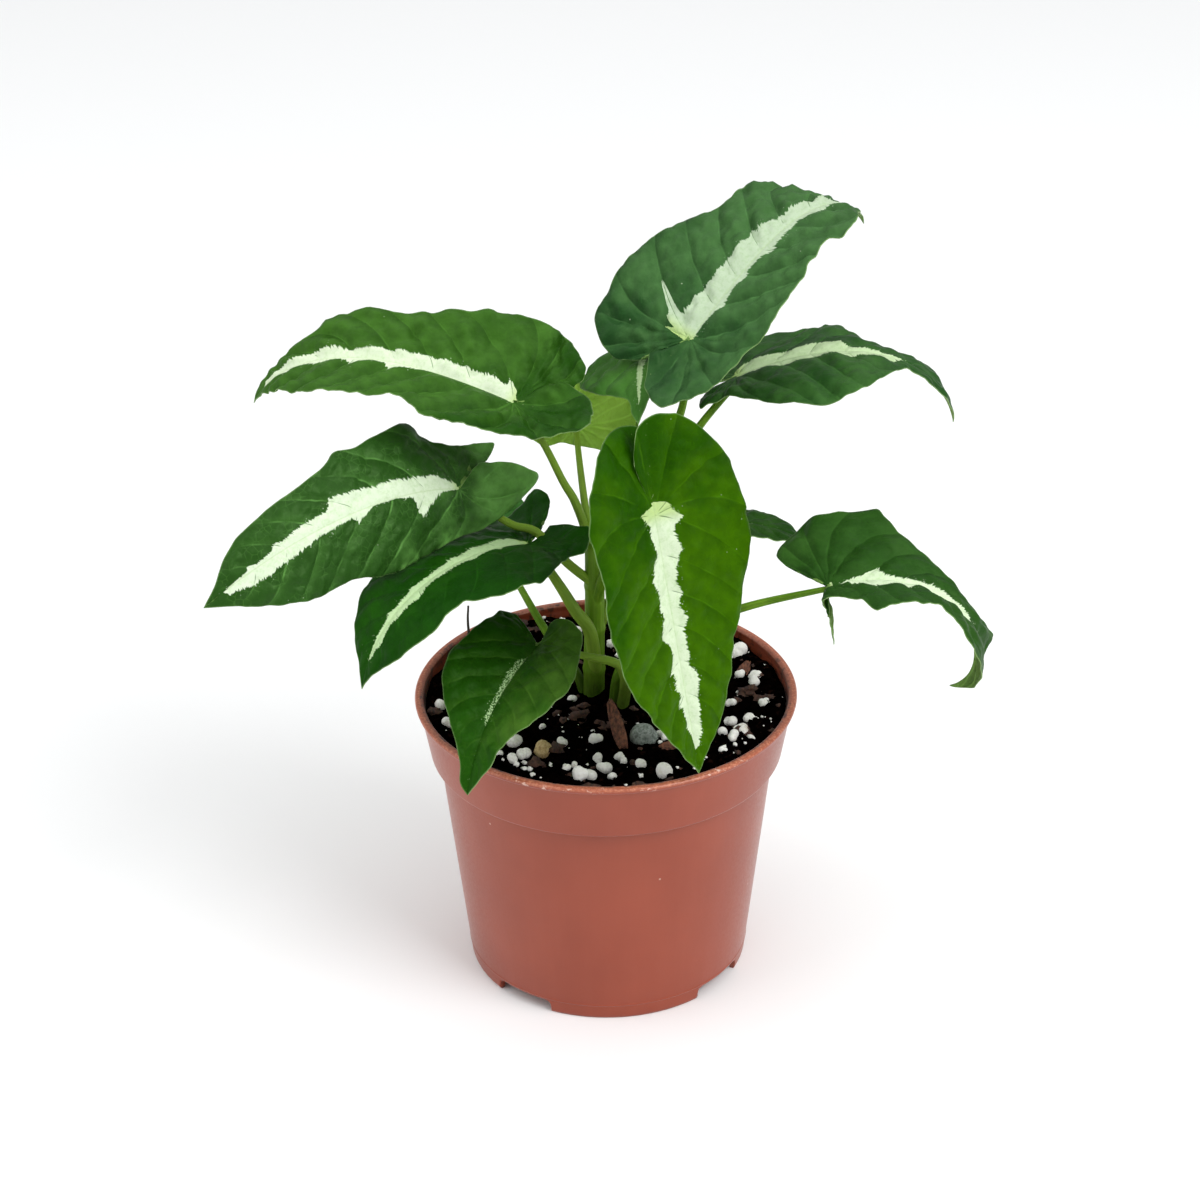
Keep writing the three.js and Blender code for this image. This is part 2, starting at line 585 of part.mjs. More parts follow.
// A point of the blade: from the midrib the half rises at the fold angle and bends down along an
// arc, and its margin waves up and down.
function bladePoint(leaf, half, sign, s, t) {
  const { point, side, normal } = midribFrame(leaf, half, s);
  const fold = radians(half.fold);
  const bend = radians(half.curl + 1e-3) / half.width;
  const out = (Math.sin(fold) - Math.sin(fold - bend * t)) / bend;
  const rise = (Math.cos(fold - bend * t) - Math.cos(fold)) / bend;
  const { height, count, phase } = leaf.wave;
  const turns = count * (s / leaf.length);
  const wave = height * (t / half.width) ** 2 * Math.sin(2 * Math.PI * turns + phase + sign);
  return point.addScaledVector(side, sign * out).addScaledVector(normal, rise + wave);
}

// The blade as a closed sheet: rows like side veins run from the midrib to the margin, and round the
// stalk they fan out over the basal lobes. The lower face is the upper one moved down, split alike.
function bladeGeometry(leaf) {
  const starts = rowStarts();
  const lastRow = starts.length - 1;
  const middle = [];
  const ids = new Map();
  const vertex = (name, make) => {
    if (!ids.has(name)) {
      ids.set(name, middle.length);
      middle.push(make());
    }
    return ids.get(name);
  };
  const faces = [];
  const rims = [];
  for (const [half, sign] of [[leaf.right, 1], [leaf.left, -1]]) {
    const margin = marginCurve(leaf, half);
    const at = (row, column) => {
      if (row === 0) return vertex("tip", () => bladePoint(leaf, half, sign, leaf.length, 0));
      const start = starts[row] * leaf.length;
      if (column === 0) return vertex("rib" + start.toFixed(4), () => bladePoint(leaf, half, sign, start, 0));
      const end = margin.getPoint(row / lastRow);
      const f = column / COLUMNS;
      const name = [sign, row, column].join();
      return vertex(name, () => bladePoint(leaf, half, sign, mix(start, end.x, f), f * end.y));
    };
    for (let row = 0; row < lastRow; row++) {
      for (let column = 0; column < COLUMNS; column++) {
        const quad = [at(row, column), at(row, column + 1), at(row + 1, column + 1), at(row + 1, column)];
        const [a, b, c, d] = sign > 0 ? [quad[0], quad[3], quad[2], quad[1]] : quad;
        for (const face of [[a, b, c], [a, c, d]]) {
          if (new Set(face).size === 3) faces.push(face);
        }
      }
    }
    const rim = [];
    for (let row = 0; row <= lastRow; row++) rim.push(at(row, COLUMNS));
    for (let column = COLUMNS - 1; column >= 0; column--) rim.push(at(lastRow, column));
    rims.push(rim);
  }
  const normals = middle.map(() => new THREE.Vector3());
  for (const [a, b, c] of faces) {
    const ab = middle[b].clone().sub(middle[a]);
    const ac = middle[c].clone().sub(middle[a]);
    const n = ab.cross(ac);
    for (const v of [a, b, c]) normals[v].add(n);
  }
  const positions = [];
  for (const face of [0.5, -0.5]) {
    middle.forEach((p, i) => {
      const q = p.clone().addScaledVector(normals[i].clone().normalize(), face * BLADE_THICKNESS);
      positions.push(q.x, q.y, q.z);
    });
  }
  const below = middle.length;
  const index = faces.flatMap(([a, b, c]) => [a, b, c, a + below, c + below, b + below]);
  const loop = [...rims[0].slice(0, -1), ...rims[1].slice(1).reverse()];
  loop.forEach((a, i) => {
    const b = loop[(i + 1) % loop.length];
    index.push(a, b, b + below, a, b + below, a + below);
  });
  const geometry = new THREE.BufferGeometry();
  geometry.setAttribute("position", new THREE.Float32BufferAttribute(positions, 3));
  geometry.setIndex(index);
  return geometry;
}

// Stem, root crown and all leaf stalks as one grown body
function stemSolid() {
  const crown = new THREE.CylinderGeometry(CROWN.radius, 0.7 * CROWN.radius, CROWN.top - CROWN.bottom, 20);
  crown.rotateX(Math.PI / 2);
  crown.translate(CROWN.x, CROWN.y, (CROWN.top + CROWN.bottom) / 2);
  let body = solidOf(crown).add(solidOf(taperedTube(STEM.path, STEM.radii, 10, 2)));
  for (const [name, stalk] of Object.entries(STALKS)) {
    const leaf = LEAVES[name];
    const { point, side, normal } = midribFrame(leaf, leaf.right, 0);
    const under = BLADE_THICKNESS / 2 + STALK_CLEARANCE + stalk.radii[1];
    const end = point.addScaledVector(normal, -under).addScaledVector(side, -(stalk.aside ?? 0));
    const tube = taperedTube([...stalk.path, end.toArray()], stalk.radii, STALK_SIDES, 2);
    body = body.add(solidOf(tube));
  }
  return body;
}

// The plain hole in the mix that the crown and the stalks' feet stand in.
function crownHole() {
  const radius = CROWN.radius + FIT_GAP;
  const hole = new THREE.CylinderGeometry(radius, radius, 40, 24);
  hole.rotateX(Math.PI / 2);
  hole.translate(CROWN.x, CROWN.y, CROWN.bottom - FIT_GAP + 20);
  return solidOf(hole);
}

addNode("pot", geometryOf(potSolid()), TERRACOTTA);

const stem = stemSolid();
addNode("stem_and_stalks", geometryOf(stem), OLIVE);

const leafFinish = { leaf_front: BRIGHT_GREEN, leaf_pale_back: PALE_GREEN };
for (const [name, leaf] of Object.entries(LEAVES)) {
  addNode(name, bladeGeometry(leaf), leafFinish[name] ?? GREEN);
}

// Loose pieces: name, finish, and the shape as a function of the margin round it
const loose = [
  ["stone_tan", TAN, (margin) => lump(...TAN_STONE, 0.7, margin)],
  ["lump_grey", GREY, (margin) => lump(...GREY_LUMP, 2.1, margin)],
  ["dry_stalk", DRY_BROWN, dryStalk],
];
PERLITE.forEach((grain, i) => {
  const name = `perlite_${String(i + 1).padStart(2, "0")}`;
  loose.push([name, WHITE_GRIT, (margin) => lump(...grain, 1.3 * i, margin)]);
});
BARK.forEach((chip, i) => {
  const name = `bark_${String(i + 1).padStart(2, "0")}`;
  loose.push([name, BARK_BROWN, (margin) => barkChip(...chip, margin)]);
});

let soil = soilPlug().subtract(crownHole());
for (const [name, finish, shape] of loose) {
  soil = soil.subtract(solidOf(shape(FIT_GAP)));
  addNode(name, geometryOf(solidOf(shape(0))), finish);
}
addNode("soil", geometryOf(soil), MIX);

export default plant;
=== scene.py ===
# %% [markdown]
# # A potted arrowhead vine
# The solid model of the plant is loaded as a fixed frame. This notebook then dresses it: every blade,
# stalk, lump of the mix and the pot get a finer surface in the same place, and a finish of their own.
# Lengths below are in millimetres, and each finished mesh is scaled to metres once, when it is made.

# %% Load the solid model
import math

import bmesh
import bpy
import numpy as np
from mathutils import Matrix, Vector


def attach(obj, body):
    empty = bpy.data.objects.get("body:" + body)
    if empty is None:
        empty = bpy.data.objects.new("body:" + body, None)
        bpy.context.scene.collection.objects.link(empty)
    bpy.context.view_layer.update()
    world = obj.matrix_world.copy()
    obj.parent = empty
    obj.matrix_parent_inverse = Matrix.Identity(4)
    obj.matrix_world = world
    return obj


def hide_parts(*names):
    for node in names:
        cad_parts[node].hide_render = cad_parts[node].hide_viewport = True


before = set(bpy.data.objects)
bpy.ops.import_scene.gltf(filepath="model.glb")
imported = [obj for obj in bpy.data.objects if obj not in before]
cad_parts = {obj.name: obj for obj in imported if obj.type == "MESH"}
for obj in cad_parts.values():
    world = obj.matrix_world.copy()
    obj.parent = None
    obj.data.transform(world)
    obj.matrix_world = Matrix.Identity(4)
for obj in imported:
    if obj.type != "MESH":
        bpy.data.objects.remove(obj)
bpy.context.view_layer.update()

MM = 0.001
print("solid pieces:", len(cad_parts))

# %% [markdown]
# ## Camera
# The photograph looks down on the pot by about 28 degrees from some 0.93 m away. The rim, the collar and
# the base of the pot are circles, so the three ellipses they make in the picture fix the camera. It is
# turned by half a degree about its own line of sight, as the picture is.

# %% Camera
CAMERA_ELEVATION = 28.41
CAMERA_ROLL = -0.58
CAMERA_DISTANCE = 926.8
CAMERA_TARGET = (-1.56, 0.0, 126.14)
CAMERA_LENS, CAMERA_SENSOR = 90, 36


def make_camera():
    """Looks along +Y and down at the target. Lens over sensor width gives the picture's scale."""
    lift, roll = math.radians(CAMERA_ELEVATION), math.radians(CAMERA_ROLL)
    back = Vector((0, -math.cos(lift), math.sin(lift)))
    level = Vector((1, 0, 0))
    up = back.cross(level)
    right = math.cos(roll) * level + math.sin(roll) * up
    above = math.cos(roll) * up - math.sin(roll) * level
    data = bpy.data.cameras.new("camera")
    data.lens, data.sensor_width = CAMERA_LENS, CAMERA_SENSOR
    data.clip_start, data.clip_end = 0.05, 30
    camera = bpy.data.objects.new("camera", data)
    place = Vector(CAMERA_TARGET) * MM + back * (CAMERA_DISTANCE * MM)
    turn = Matrix((right, above, back)).transposed().to_4x4()
    camera.matrix_world = Matrix.Translation(place) @ turn
    bpy.context.collection.objects.link(camera)
    bpy.context.scene.camera = camera
    return camera


camera = make_camera()
print("camera at", [round(c, 3) for c in camera.matrix_world.translation])

# %% [markdown]
# ## Light and floor
# A small product stood in a white studio. A plain white sky lights it from all round and a wide ceiling of
# light from above. A soft key lamp in front on the right throws the shadow back to the left, and a weak
# lamp on the left lifts that side of the pot. One large plane is the paper, bright enough to turn white.

# %% Lamps
SKY_STRENGTH = 0.42
# Each lamp's place, what it is aimed at and its width, in metres, and its power in watts
LAMPS = {
    "key": ((0.92, -0.75, 1.15), (0, 0, 0.1), 0.95, 16.0),
    "side": ((-1.1, -0.25, 0.7), (0, 0, 0.1), 1.2, 5.2),
    "ceiling": ((0, 0.3, 2.2), (0, 0.3, 0), 4.0, 44.0),
}


def area_lamp(name, place, target, size, watts):
    """A square soft lamp at a place, facing a target."""
    data = bpy.data.lights.new(name, "AREA")
    data.size, data.energy = size, watts
    lamp = bpy.data.objects.new(name, data)
    facing = (Vector(target) - Vector(place)).to_track_quat("-Z", "Y")
    lamp.matrix_world = Matrix.Translation(Vector(place)) @ facing.to_matrix().to_4x4()
    bpy.context.collection.objects.link(lamp)


for name, settings in LAMPS.items():
    area_lamp(name, *settings)
print("lamps:", ", ".join(LAMPS))

# %% Sky and paper
PAPER_REACH = 6
PAPER_WHITE = (0.915, 0.925, 0.93, 1)


def make_surroundings():
    """The sky, a plain white glow, and the paper, a flat square that the pot stands on."""
    world = bpy.data.worlds.new("studio")
    world.use_nodes = True
    sky = world.node_tree.nodes["Background"]
    sky.inputs["Color"].default_value = (1, 1, 1, 1)
    sky.inputs["Strength"].default_value = SKY_STRENGTH
    bpy.context.scene.world = world
    paper = bpy.data.meshes.new("paper")
    corners = [(x * PAPER_REACH, y * PAPER_REACH, 0) for x, y in ((-1, -1), (1, -1), (1, 1), (-1, 1))]
    paper.from_pydata(corners, [], [(0, 1, 2, 3)])
    white = bpy.data.materials.new("white_paper")
    white.use_nodes = True
    shader = white.node_tree.nodes["Principled BSDF"]
    shader.inputs["Base Color"].default_value = PAPER_WHITE
    shader.inputs["Roughness"].default_value = 0.8
    shader.inputs["Specular IOR Level"].default_value = 0.1
    paper.materials.append(white)
    floor = bpy.data.objects.new("paper", paper)
    bpy.context.collection.objects.link(floor)


make_surroundings()
bpy.context.scene.view_settings.view_transform = "Standard"
print("sky strength", SKY_STRENGTH, "and paper", 2 * PAPER_REACH, "m wide")

# %% [markdown]
# ## Small tools
# Every surface below is a grid of points worked out at once with numpy. Points that coincide, at a tip or
# a pole, are welded, and triangles that collapse there are dropped, so each piece closes.

# %% Curves and unevenness
FULL_SWING = 1.6


def smooth_path(points, count):
    """A smooth curve through points, at count even steps. Each span is a cubic whose slope at either end
    is half the step between that point's neighbours. Past the ends the neighbours are mirrored."""
    p = np.asarray(points, float)
    p = np.vstack([2 * p[0] - p[1], p, 2 * p[-1] - p[-2]])
    x = np.linspace(0, len(points) - 1, count)
    i = np.minimum(x.astype(int), len(points) - 2)
    f = (x - i)[:, None]
    a, b, c, d = p[i], p[i + 1], p[i + 2], p[i + 3]
    cubic = (b - c) * 1.5 + (d - a) * 0.5
    return b + 0.5 * (c - a) * f + (a - 2.5 * b + 2 * c - 0.5 * d) * f**2 + cubic * f**3


def ripple(points, size, seed, waves=9):
    """Smooth unevenness from about -1 to 1: the mean of sine waves some `size` long, in seeded directions,
    raised to full swing."""
    draw = np.random.default_rng(seed)
    way = draw.normal(size=(waves, points.shape[-1]))
    way /= np.linalg.norm(way, axis=1, keepdims=True)
    way *= 2 * np.pi / (size * draw.uniform(0.7, 1.5, (waves, 1)))
    phase = draw.uniform(0, 2 * np.pi, waves)
    return np.sin(points @ way.T + phase).mean(-1) * FULL_SWING


def bell(distance, width):
    """1 on a line, fading away over two widths: e to the minus square of distance over width."""
    return np.exp(-((distance / width) ** 2))


print("a wave of size 1 swings by", np.ptp(ripple(np.arange(99.0)[:, None] / 9, 1.0, 1)).round(2))

# %% Grids and normals


def grid_triangles(rows, columns, closed=False):
    """Triangles of a grid of points, row after row. Closed joins the last column to the first."""
    r = np.arange(rows - 1)[:, None] * columns
    c = np.arange(columns if closed else columns - 1)[None]
    a = (r + c).ravel()
    b = (r + (c + 1) % columns).ravel()
    return np.vstack([np.stack([a, b, b + columns], 1), np.stack([a, b + columns, a + columns], 1)])


def welded(points, triangles):
    """Merges points that round to the same micrometre. Returns the numbers of the points kept, the
    triangles left, and each old point's new number."""
    _, kept, to = np.unique(np.round(points, 3), axis=0, return_index=True, return_inverse=True)
    to = to.reshape(-1)
    t = to[triangles]
    whole = (t[:, 0] != t[:, 1]) & (t[:, 1] != t[:, 2]) & (t[:, 2] != t[:, 0])
    return kept, t[whole], to


def point_normals(points, triangles):
    """Each point's normal: the sum of its triangles' cross products, made unit length."""
    a, b, c = (points[triangles[:, k]] for k in range(3))
    cross = np.cross(b - a, c - a)
    total = np.zeros_like(points)
    for k in range(3):
        np.add.at(total, triangles[:, k], cross)
    return total / np.maximum(np.linalg.norm(total, axis=1, keepdims=True), 1e-12)


def joined(parts):
    """Several (points, triangles, values) as one."""
    points, triangles, values = zip(*parts)
    starts = np.cumsum([0] + [len(p) for p in points[:-1]])
    return np.vstack(points), np.vstack([t + start for t, start in zip(triangles, starts)]), np.vstack(values)


print("a grid of 3 by 4 points has", len(grid_triangles(3, 4)), "triangles")

# %% Meshes for the frame


def new_mesh(name, points, triangles):
    """A mesh in metres from arrays of points and triangles."""
    mesh = bpy.data.meshes.new(name)
    mesh.vertices.add(len(points))
    mesh.vertices.foreach_set("co", (np.asarray(points) * MM).astype(np.float32).ravel())
    mesh.loops.add(triangles.size)
    mesh.loops.foreach_set("vertex_index", triangles.astype(np.int32).ravel())
    mesh.polygons.add(len(triangles))
    mesh.polygons.foreach_set("loop_start", np.arange(0, triangles.size, 3, dtype=np.int32))
    mesh.update(calc_edges=True)
    mesh.validate()
    return mesh


def make_piece(name, points, triangles, materials, nodes=(), attributes=None, layers=None):
    """A smooth mesh object of these triangles. It rides on the root body, stands for the named nodes, and
    carries named values for each point that its materials read. Layers give each triangle's material."""
    mesh = new_mesh(name, points, triangles)
    for key, values in (attributes or {}).items():
        vector = values.ndim == 2
        layer = mesh.attributes.new(key, "FLOAT_VECTOR" if vector else "FLOAT", "POINT")
        layer.data.foreach_set("vector" if vector else "value", values.astype(np.float32).ravel())
    for material in materials:
        mesh.materials.append(material)
    if layers is not None:
        mesh.polygons.foreach_set("material_index", layers.astype(np.int32))
    mesh.polygons.foreach_set("use_smooth", np.ones(len(mesh.polygons), bool))
    piece = bpy.data.objects.new(name, mesh)
    bpy.context.collection.objects.link(piece)
    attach(piece, "root")
    if nodes:
        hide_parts(*nodes)
    return piece


print("tools for meshes ready")

# %% [markdown]
# ## A short way to write node materials
# A finish is a small network of nodes. The class below adds nodes to one material and hands back their
# outputs, so that a finish reads like a formula. Colours are written as red, green and blue.

# %% Tools for finishes


class Finish:
    """One material and short calls that add nodes to it, each returning an output socket."""

    def __init__(self, name):
        self.material = bpy.data.materials.new(name)
        self.material.use_nodes = True
        self.tree = self.material.node_tree
        self.shader = self.tree.nodes["Principled BSDF"]
        self.surface = self.tree.nodes["Material Output"].inputs["Surface"]

    def put(self, socket, value):
        """Links an output to a socket, or sets a plain value on it. A colour gets its alpha here."""
        if isinstance(value, bpy.types.NodeSocket):
            self.tree.links.new(value, socket)
        else:
            socket.default_value = (*value, 1) if socket.type == "RGBA" else value

    def node(self, kind, settings=None, **inputs):
        """A node with its settings and inputs. An underscore in an input's name stands for a space."""
        n = self.tree.nodes.new(kind)
        for key, value in (settings or {}).items():
            setattr(n, key, value)
        for key, value in inputs.items():
            self.put(n.inputs[key.replace("_", " ")], value)
        return n

    def math(self, operation, *values):
        """One of the Math node's operations on its numbers."""
        n = self.node("ShaderNodeMath", {"operation": operation})
        for socket, value in zip(n.inputs, values):
            self.put(socket, value)
        return n.outputs[0]

    def times(self, a, b):
        """a times b."""
        return self.math("MULTIPLY", a, b)

    def plus(self, a, b):
        """a plus b."""
        return self.math("ADD", a, b)

    def minus(self, a, b):
        """a minus b."""
        return self.math("SUBTRACT", a, b)

    def point(self, x, y, z):
        """A place made of three numbers."""
        return self.node("ShaderNodeCombineXYZ", None, X=x, Y=y, Z=z).outputs[0]

    def steps(self, x, low, high, start=0.0, end=1.0):
        """Rises smoothly from start to end while x goes from low to high."""
        n = self.node("ShaderNodeMapRange", {"interpolation_type": "SMOOTHSTEP"}, Value=x)
        for key, value in zip(("From Min", "From Max", "To Min", "To Max"), (low, high, start, end)):
            self.put(n.inputs[key], value)
        return n.outputs[0]

    def blend(self, factor, a, b):
        """Colour a where factor is 0, b where it is 1. The Mix node's colours are its inputs 6 and 7."""
        n = self.node("ShaderNodeMix", {"data_type": "RGBA"})
        for socket, value in zip((n.inputs[0], n.inputs[6], n.inputs[7]), (factor, a, b)):
            self.put(socket, value)
        return n.outputs[2]

    def place(self, scale=(1.0, 1.0, 1.0)):
        """The piece's own coordinates in millimetres, stretched by scale."""
        wide = self.node("ShaderNodeVectorMath", {"operation": "MULTIPLY"})
        self.put(wide.inputs[0], self.node("ShaderNodeTexCoord").outputs["Object"])
        self.put(wide.inputs[1], tuple(s / MM for s in scale))
        return wide.outputs[0]

    def parts(self, vector):
        """The three numbers of a place."""
        return self.node("ShaderNodeSeparateXYZ", None, Vector=vector).outputs

    def values(self, name):
        """The three numbers of an attribute of the piece."""
        return self.parts(self.node("ShaderNodeAttribute", {"attribute_name": name}).outputs["Vector"])

    def noise(self, where, size, detail=2.0, rough=0.5):
        """Cloudy noise about 0.5 whose clouds are `size` across."""
        inputs = dict(Vector=where, Scale=1 / size, Detail=detail, Roughness=rough)
        return self.node("ShaderNodeTexNoise", None, **inputs).outputs["Fac"]

    def cells(self, where, size, feature="F1"):
        """Distance to the centre, or to the edge, of cells `size` across, and a colour for each cell."""
        n = self.node("ShaderNodeTexVoronoi", {"feature": feature}, Vector=where, Scale=1 / size)
        return n.outputs["Distance"], n.outputs.get("Color")

    def specks(self, where, apart, size, above):
        """1 in dots up to `size` of a cell, in those cells alone whose own random red is above a limit."""
        speck, tint = self.cells(where, apart)
        red = self.node("ShaderNodeSeparateColor", None, Color=tint).outputs[0]
        return self.times(self.steps(speck, *size), self.math("GREATER_THAN", red, above))

    def bump(self, height, depth):
        """Tilts the surface as if it rose by height times depth millimetres."""
        return self.node("ShaderNodeBump", None, Height=height, Distance=depth * MM, Strength=1.0).outputs[0]

    def give(self, **inputs):
        """Sets or links the shader's own inputs."""
        for key, value in inputs.items():
            self.put(self.shader.inputs[key.replace("_", " ")], value)
        return self.material


def toned(colour, factor):
    """The colour made darker or lighter by a factor, or by one for each of red, green and blue."""
    return tuple(np.multiply(colour, factor).tolist())


print("tools for finishes ready")

# %% [markdown]
# ## Leaf blades: the table
# Each blade hangs on a midrib that is a curve in space: `heading` is its compass direction, `pitch` its
# rise at the stalk, `turn`, `droop` and `sag` how both change towards the tip, `roll` and `twist` the
# turn about it. Each half has its own fold, curl, width, basal lobe and margin. The values are those of
# the solid model, so that a blade stays in its place.

# %% The leaf table
LEAVES = {
    "leaf_upper_left": dict(
        at=(-27, 1, 193), heading=167, turn=2, pitch=21, droop=-22, sag=-62, roll=-18, twist=-3, length=89,
            wave=(0.9, 4, 0.4),
        right=dict(fold=5, curl=-16, drop=-42, width=26, lobe=23, shoulder=1.12, back=0.6, inner=0.32,
            edge=(0.12, 0.26, 0.6, 0.72, 0.78, 1.04)),
        left=dict(fold=6, curl=-25, drop=-56, width=26.5, lobe=28, shoulder=0.76, back=0.6, inner=0.02,
            edge=(0.14, 0.44, 0.74, 0.84, 0.68, 1.06))),
    "leaf_mid_left": dict(
        at=(-44, -4.6, 167.1), heading=228, turn=-28, pitch=22, droop=-66, sag=10, roll=-52, twist=-1,
            length=93, wave=(0.9, 4, 2.2),
        right=dict(fold=-2, curl=6, drop=-29, width=21.5, lobe=24.5, shoulder=0.72, back=0.56, inner=0.35,
            edge=(0.14, 0.44, 0.58, 0.68, 0.9, 1.02)),
        left=dict(fold=-10, curl=22, drop=-60, width=23, lobe=26, shoulder=0.6, back=0.42, inner=-0.2,
            edge=(0.2, 0.52, 0.76, 0.8, 0.94, 0.86))),
    "leaf_low_left": dict(
        at=(-23.5, -6.2, 149), heading=223, turn=1, pitch=19, droop=-59, sag=-38, roll=2, twist=-2,
            length=79.5, wave=(0.7, 4, 1),
        right=dict(fold=0, curl=4, drop=-60, width=24, lobe=26, shoulder=1, back=0.92, inner=0.5,
            edge=(0.1, 0.4, 0.68, 0.86, 1, 0.98)),
        left=dict(fold=1, curl=5, drop=-60, width=24.5, lobe=21, shoulder=0.68, back=0.6, inner=0.14,
            edge=(0.14, 0.46, 0.66, 0.7, 1.02, 1.02))),
    "leaf_small_front": dict(
        at=(-20.5, -24, 123.5), heading=240, turn=2, pitch=-5, droop=-46, sag=-26, roll=-3, twist=-4,
            length=55.5, wave=(0.5, 3, 0),
        right=dict(fold=19, curl=2, drop=-1, width=19, lobe=8, shoulder=0.9, back=0.8, inner=0.42,
            edge=(0.14, 0.22, 0.48, 0.86, 1.04, 1.02)),
        left=dict(fold=18, curl=11, drop=-60, width=18.5, lobe=12.5, shoulder=0.84, back=0.42, inner=0,
            edge=(0.14, 0.34, 0.48, 0.86, 1.08, 1.08))),
    "leaf_front": dict(
        at=(14.5, -39, 175), heading=-54, turn=0, pitch=-74, droop=-1, sag=2, roll=-4, twist=0, length=80,
            wave=(0.5, 4, 2),
        right=dict(fold=12, curl=5, drop=26, width=27, lobe=28, shoulder=0.91, back=0.17, inner=0.06,
            edge=(0.16, 0.4, 0.68, 0.9, 0.98, 0.98)),
        left=dict(fold=11, curl=4, drop=-14, width=27, lobe=29.7, shoulder=0.98, back=0.12, inner=0.03,
            edge=(0.14, 0.4, 0.58, 0.76, 0.96, 1.12))),
    "leaf_top": dict(
        at=(26, 8, 210), heading=37, turn=3, pitch=39, droop=2, sag=-105, roll=16, twist=-18, length=83,
            wave=(0.7, 4, 0.8),
        right=dict(fold=-5, curl=-28, drop=-32, width=23, lobe=23.5, shoulder=0.88, back=0.54, inner=-0.2,
            edge=(0.1, 0.38, 0.8, 0.76, 0.96, 1)),
        left=dict(fold=-3, curl=-17, drop=7, width=30.5, lobe=17.5, shoulder=1.08, back=0.64, inner=0.38,
            edge=(0.1, 0.28, 0.76, 0.8, 0.98, 1.14))),
    "leaf_right": dict(
        at=(41.5, 25, 190), heading=1, turn=-3, pitch=25, droop=-48, sag=-62, roll=-3, twist=0, length=79.5,
            wave=(0.8, 4, 1.6),
        right=dict(fold=5, curl=27, drop=-3, width=24.5, lobe=15.5, shoulder=0.68, back=0.6, inner=0.2,
            edge=(0.12, 0.3, 0.36, 0.8, 1.08, 1.12)),
        left=dict(fold=4, curl=9, drop=0, width=23.5, lobe=21, shoulder=0.92, back=0.6, inner=0.18,
            edge=(0.12, 0.34, 0.38, 0.62, 1.04, 1.02))),
    "leaf_low_right": dict(
        at=(66, -37.5, 150), heading=-7, turn=-20, pitch=21, droop=-81, sag=-99, roll=1, twist=-23,
            length=71, wave=(0.7, 4, 2.6),
        right=dict(fold=18, curl=50, drop=-45, hang=112, width=25, lobe=13.5, shoulder=0.44, back=0.5,
            inner=0.26, edge=(0.1, 0.36, 0.6, 0.52, 0.66, 0.72)),
        left=dict(fold=19, curl=-6, drop=5, width=25, lobe=15.5, shoulder=1.12, back=0.8, inner=0.43,
            edge=(0.1, 0.38, 0.42, 0.38, 0.58, 1.04))),
    "leaf_centre_back": dict(
        at=(14.5, 44.7, 202.7), heading=-97, turn=5, pitch=4, droop=-23, sag=-23, roll=22, twist=-2,
            length=57, wave=(0.5, 3, 1),
        right=dict(fold=-7, curl=7, drop=0, width=20, lobe=16, shoulder=1, back=0.6, inner=0.18,
            edge=(0.1, 0.22, 0.8, 1.12, 1.04, 0.82)),
        left=dict(fold=2, curl=9, drop=0, width=15, lobe=14, shoulder=1.1, back=0.6, inner=0.18,
            edge=(0.12, 0.3, 0.42, 0.5, 0.95, 1.05))),
    "leaf_pale_back": dict(
        at=(-8.5, 42.3, 166), heading=-103, turn=-1, pitch=80, droop=-5, sag=-1, roll=12, twist=0, length=31,
            wave=(0.5, 3, 2),
        right=dict(fold=14, curl=9, drop=-1, width=16.5, lobe=9, shoulder=1.02, back=0.58, inner=0.18,
            edge=(0.1, 0.34, 0.62, 0.86, 0.98, 1)),
        left=dict(fold=19, curl=7, drop=8, width=19, lobe=11, shoulder=1.06, back=0.52, inner=0.02,
            edge=(0.1, 0.3, 0.56, 0.8, 0.96, 1))),
    "leaf_hidden_left": dict(
        at=(-38.5, 48, 129.5), heading=164, turn=2, pitch=20, droop=-48, sag=-7, roll=-19, twist=-2,
            length=47, wave=(0.5, 3, 0.5),
        right=dict(fold=13, curl=9, drop=0, width=15, lobe=11, shoulder=1, back=0.6, inner=0.18,
            edge=(0.1, 0.36, 0.68, 0.92, 1, 0.96)),
        left=dict(fold=8, curl=11, drop=0, width=15, lobe=11, shoulder=1, back=0.6, inner=0.18,
            edge=(0.1, 0.36, 0.68, 0.92, 1, 0.96))),
    "leaf_behind_front": dict(
        at=(20, 22, 139.5), heading=-8, turn=-3, pitch=18, droop=-33, sag=-16, roll=-7, twist=7, length=45.5,
            wave=(0.5, 3, 1.5),
        right=dict(fold=4, curl=10, drop=0, width=15, lobe=14, shoulder=1, back=0.6, inner=0.18,
            edge=(0.12, 0.46, 0.6, 0.9, 1, 0.96)),
        left=dict(fold=3, curl=16, drop=0, width=15, lobe=14, shoulder=1, back=0.6, inner=0.18,
            edge=(0.12, 0.42, 0.62, 0.9, 1, 0.96))),
}

print("blades:", len(LEAVES), "with midribs of", sum(leaf["length"] for leaf in LEAVES.values()), "mm in all")

# %% [markdown]
# ## Leaf blades: the marking
# The silvery stripe differs from leaf to leaf. For each half: its reach away from the midrib in mm at
# places along the midrib given in hundredths of the blade's length. A reach below zero leaves the midrib
# itself green. `spurs` are places where it runs out along a side vein: (side, vein, reach), side 1 being
# right, -1 left, and vein 0 the one at the stalk, with negative numbers towards the tip. `solid` under 1
# breaks the stripe up into dots.

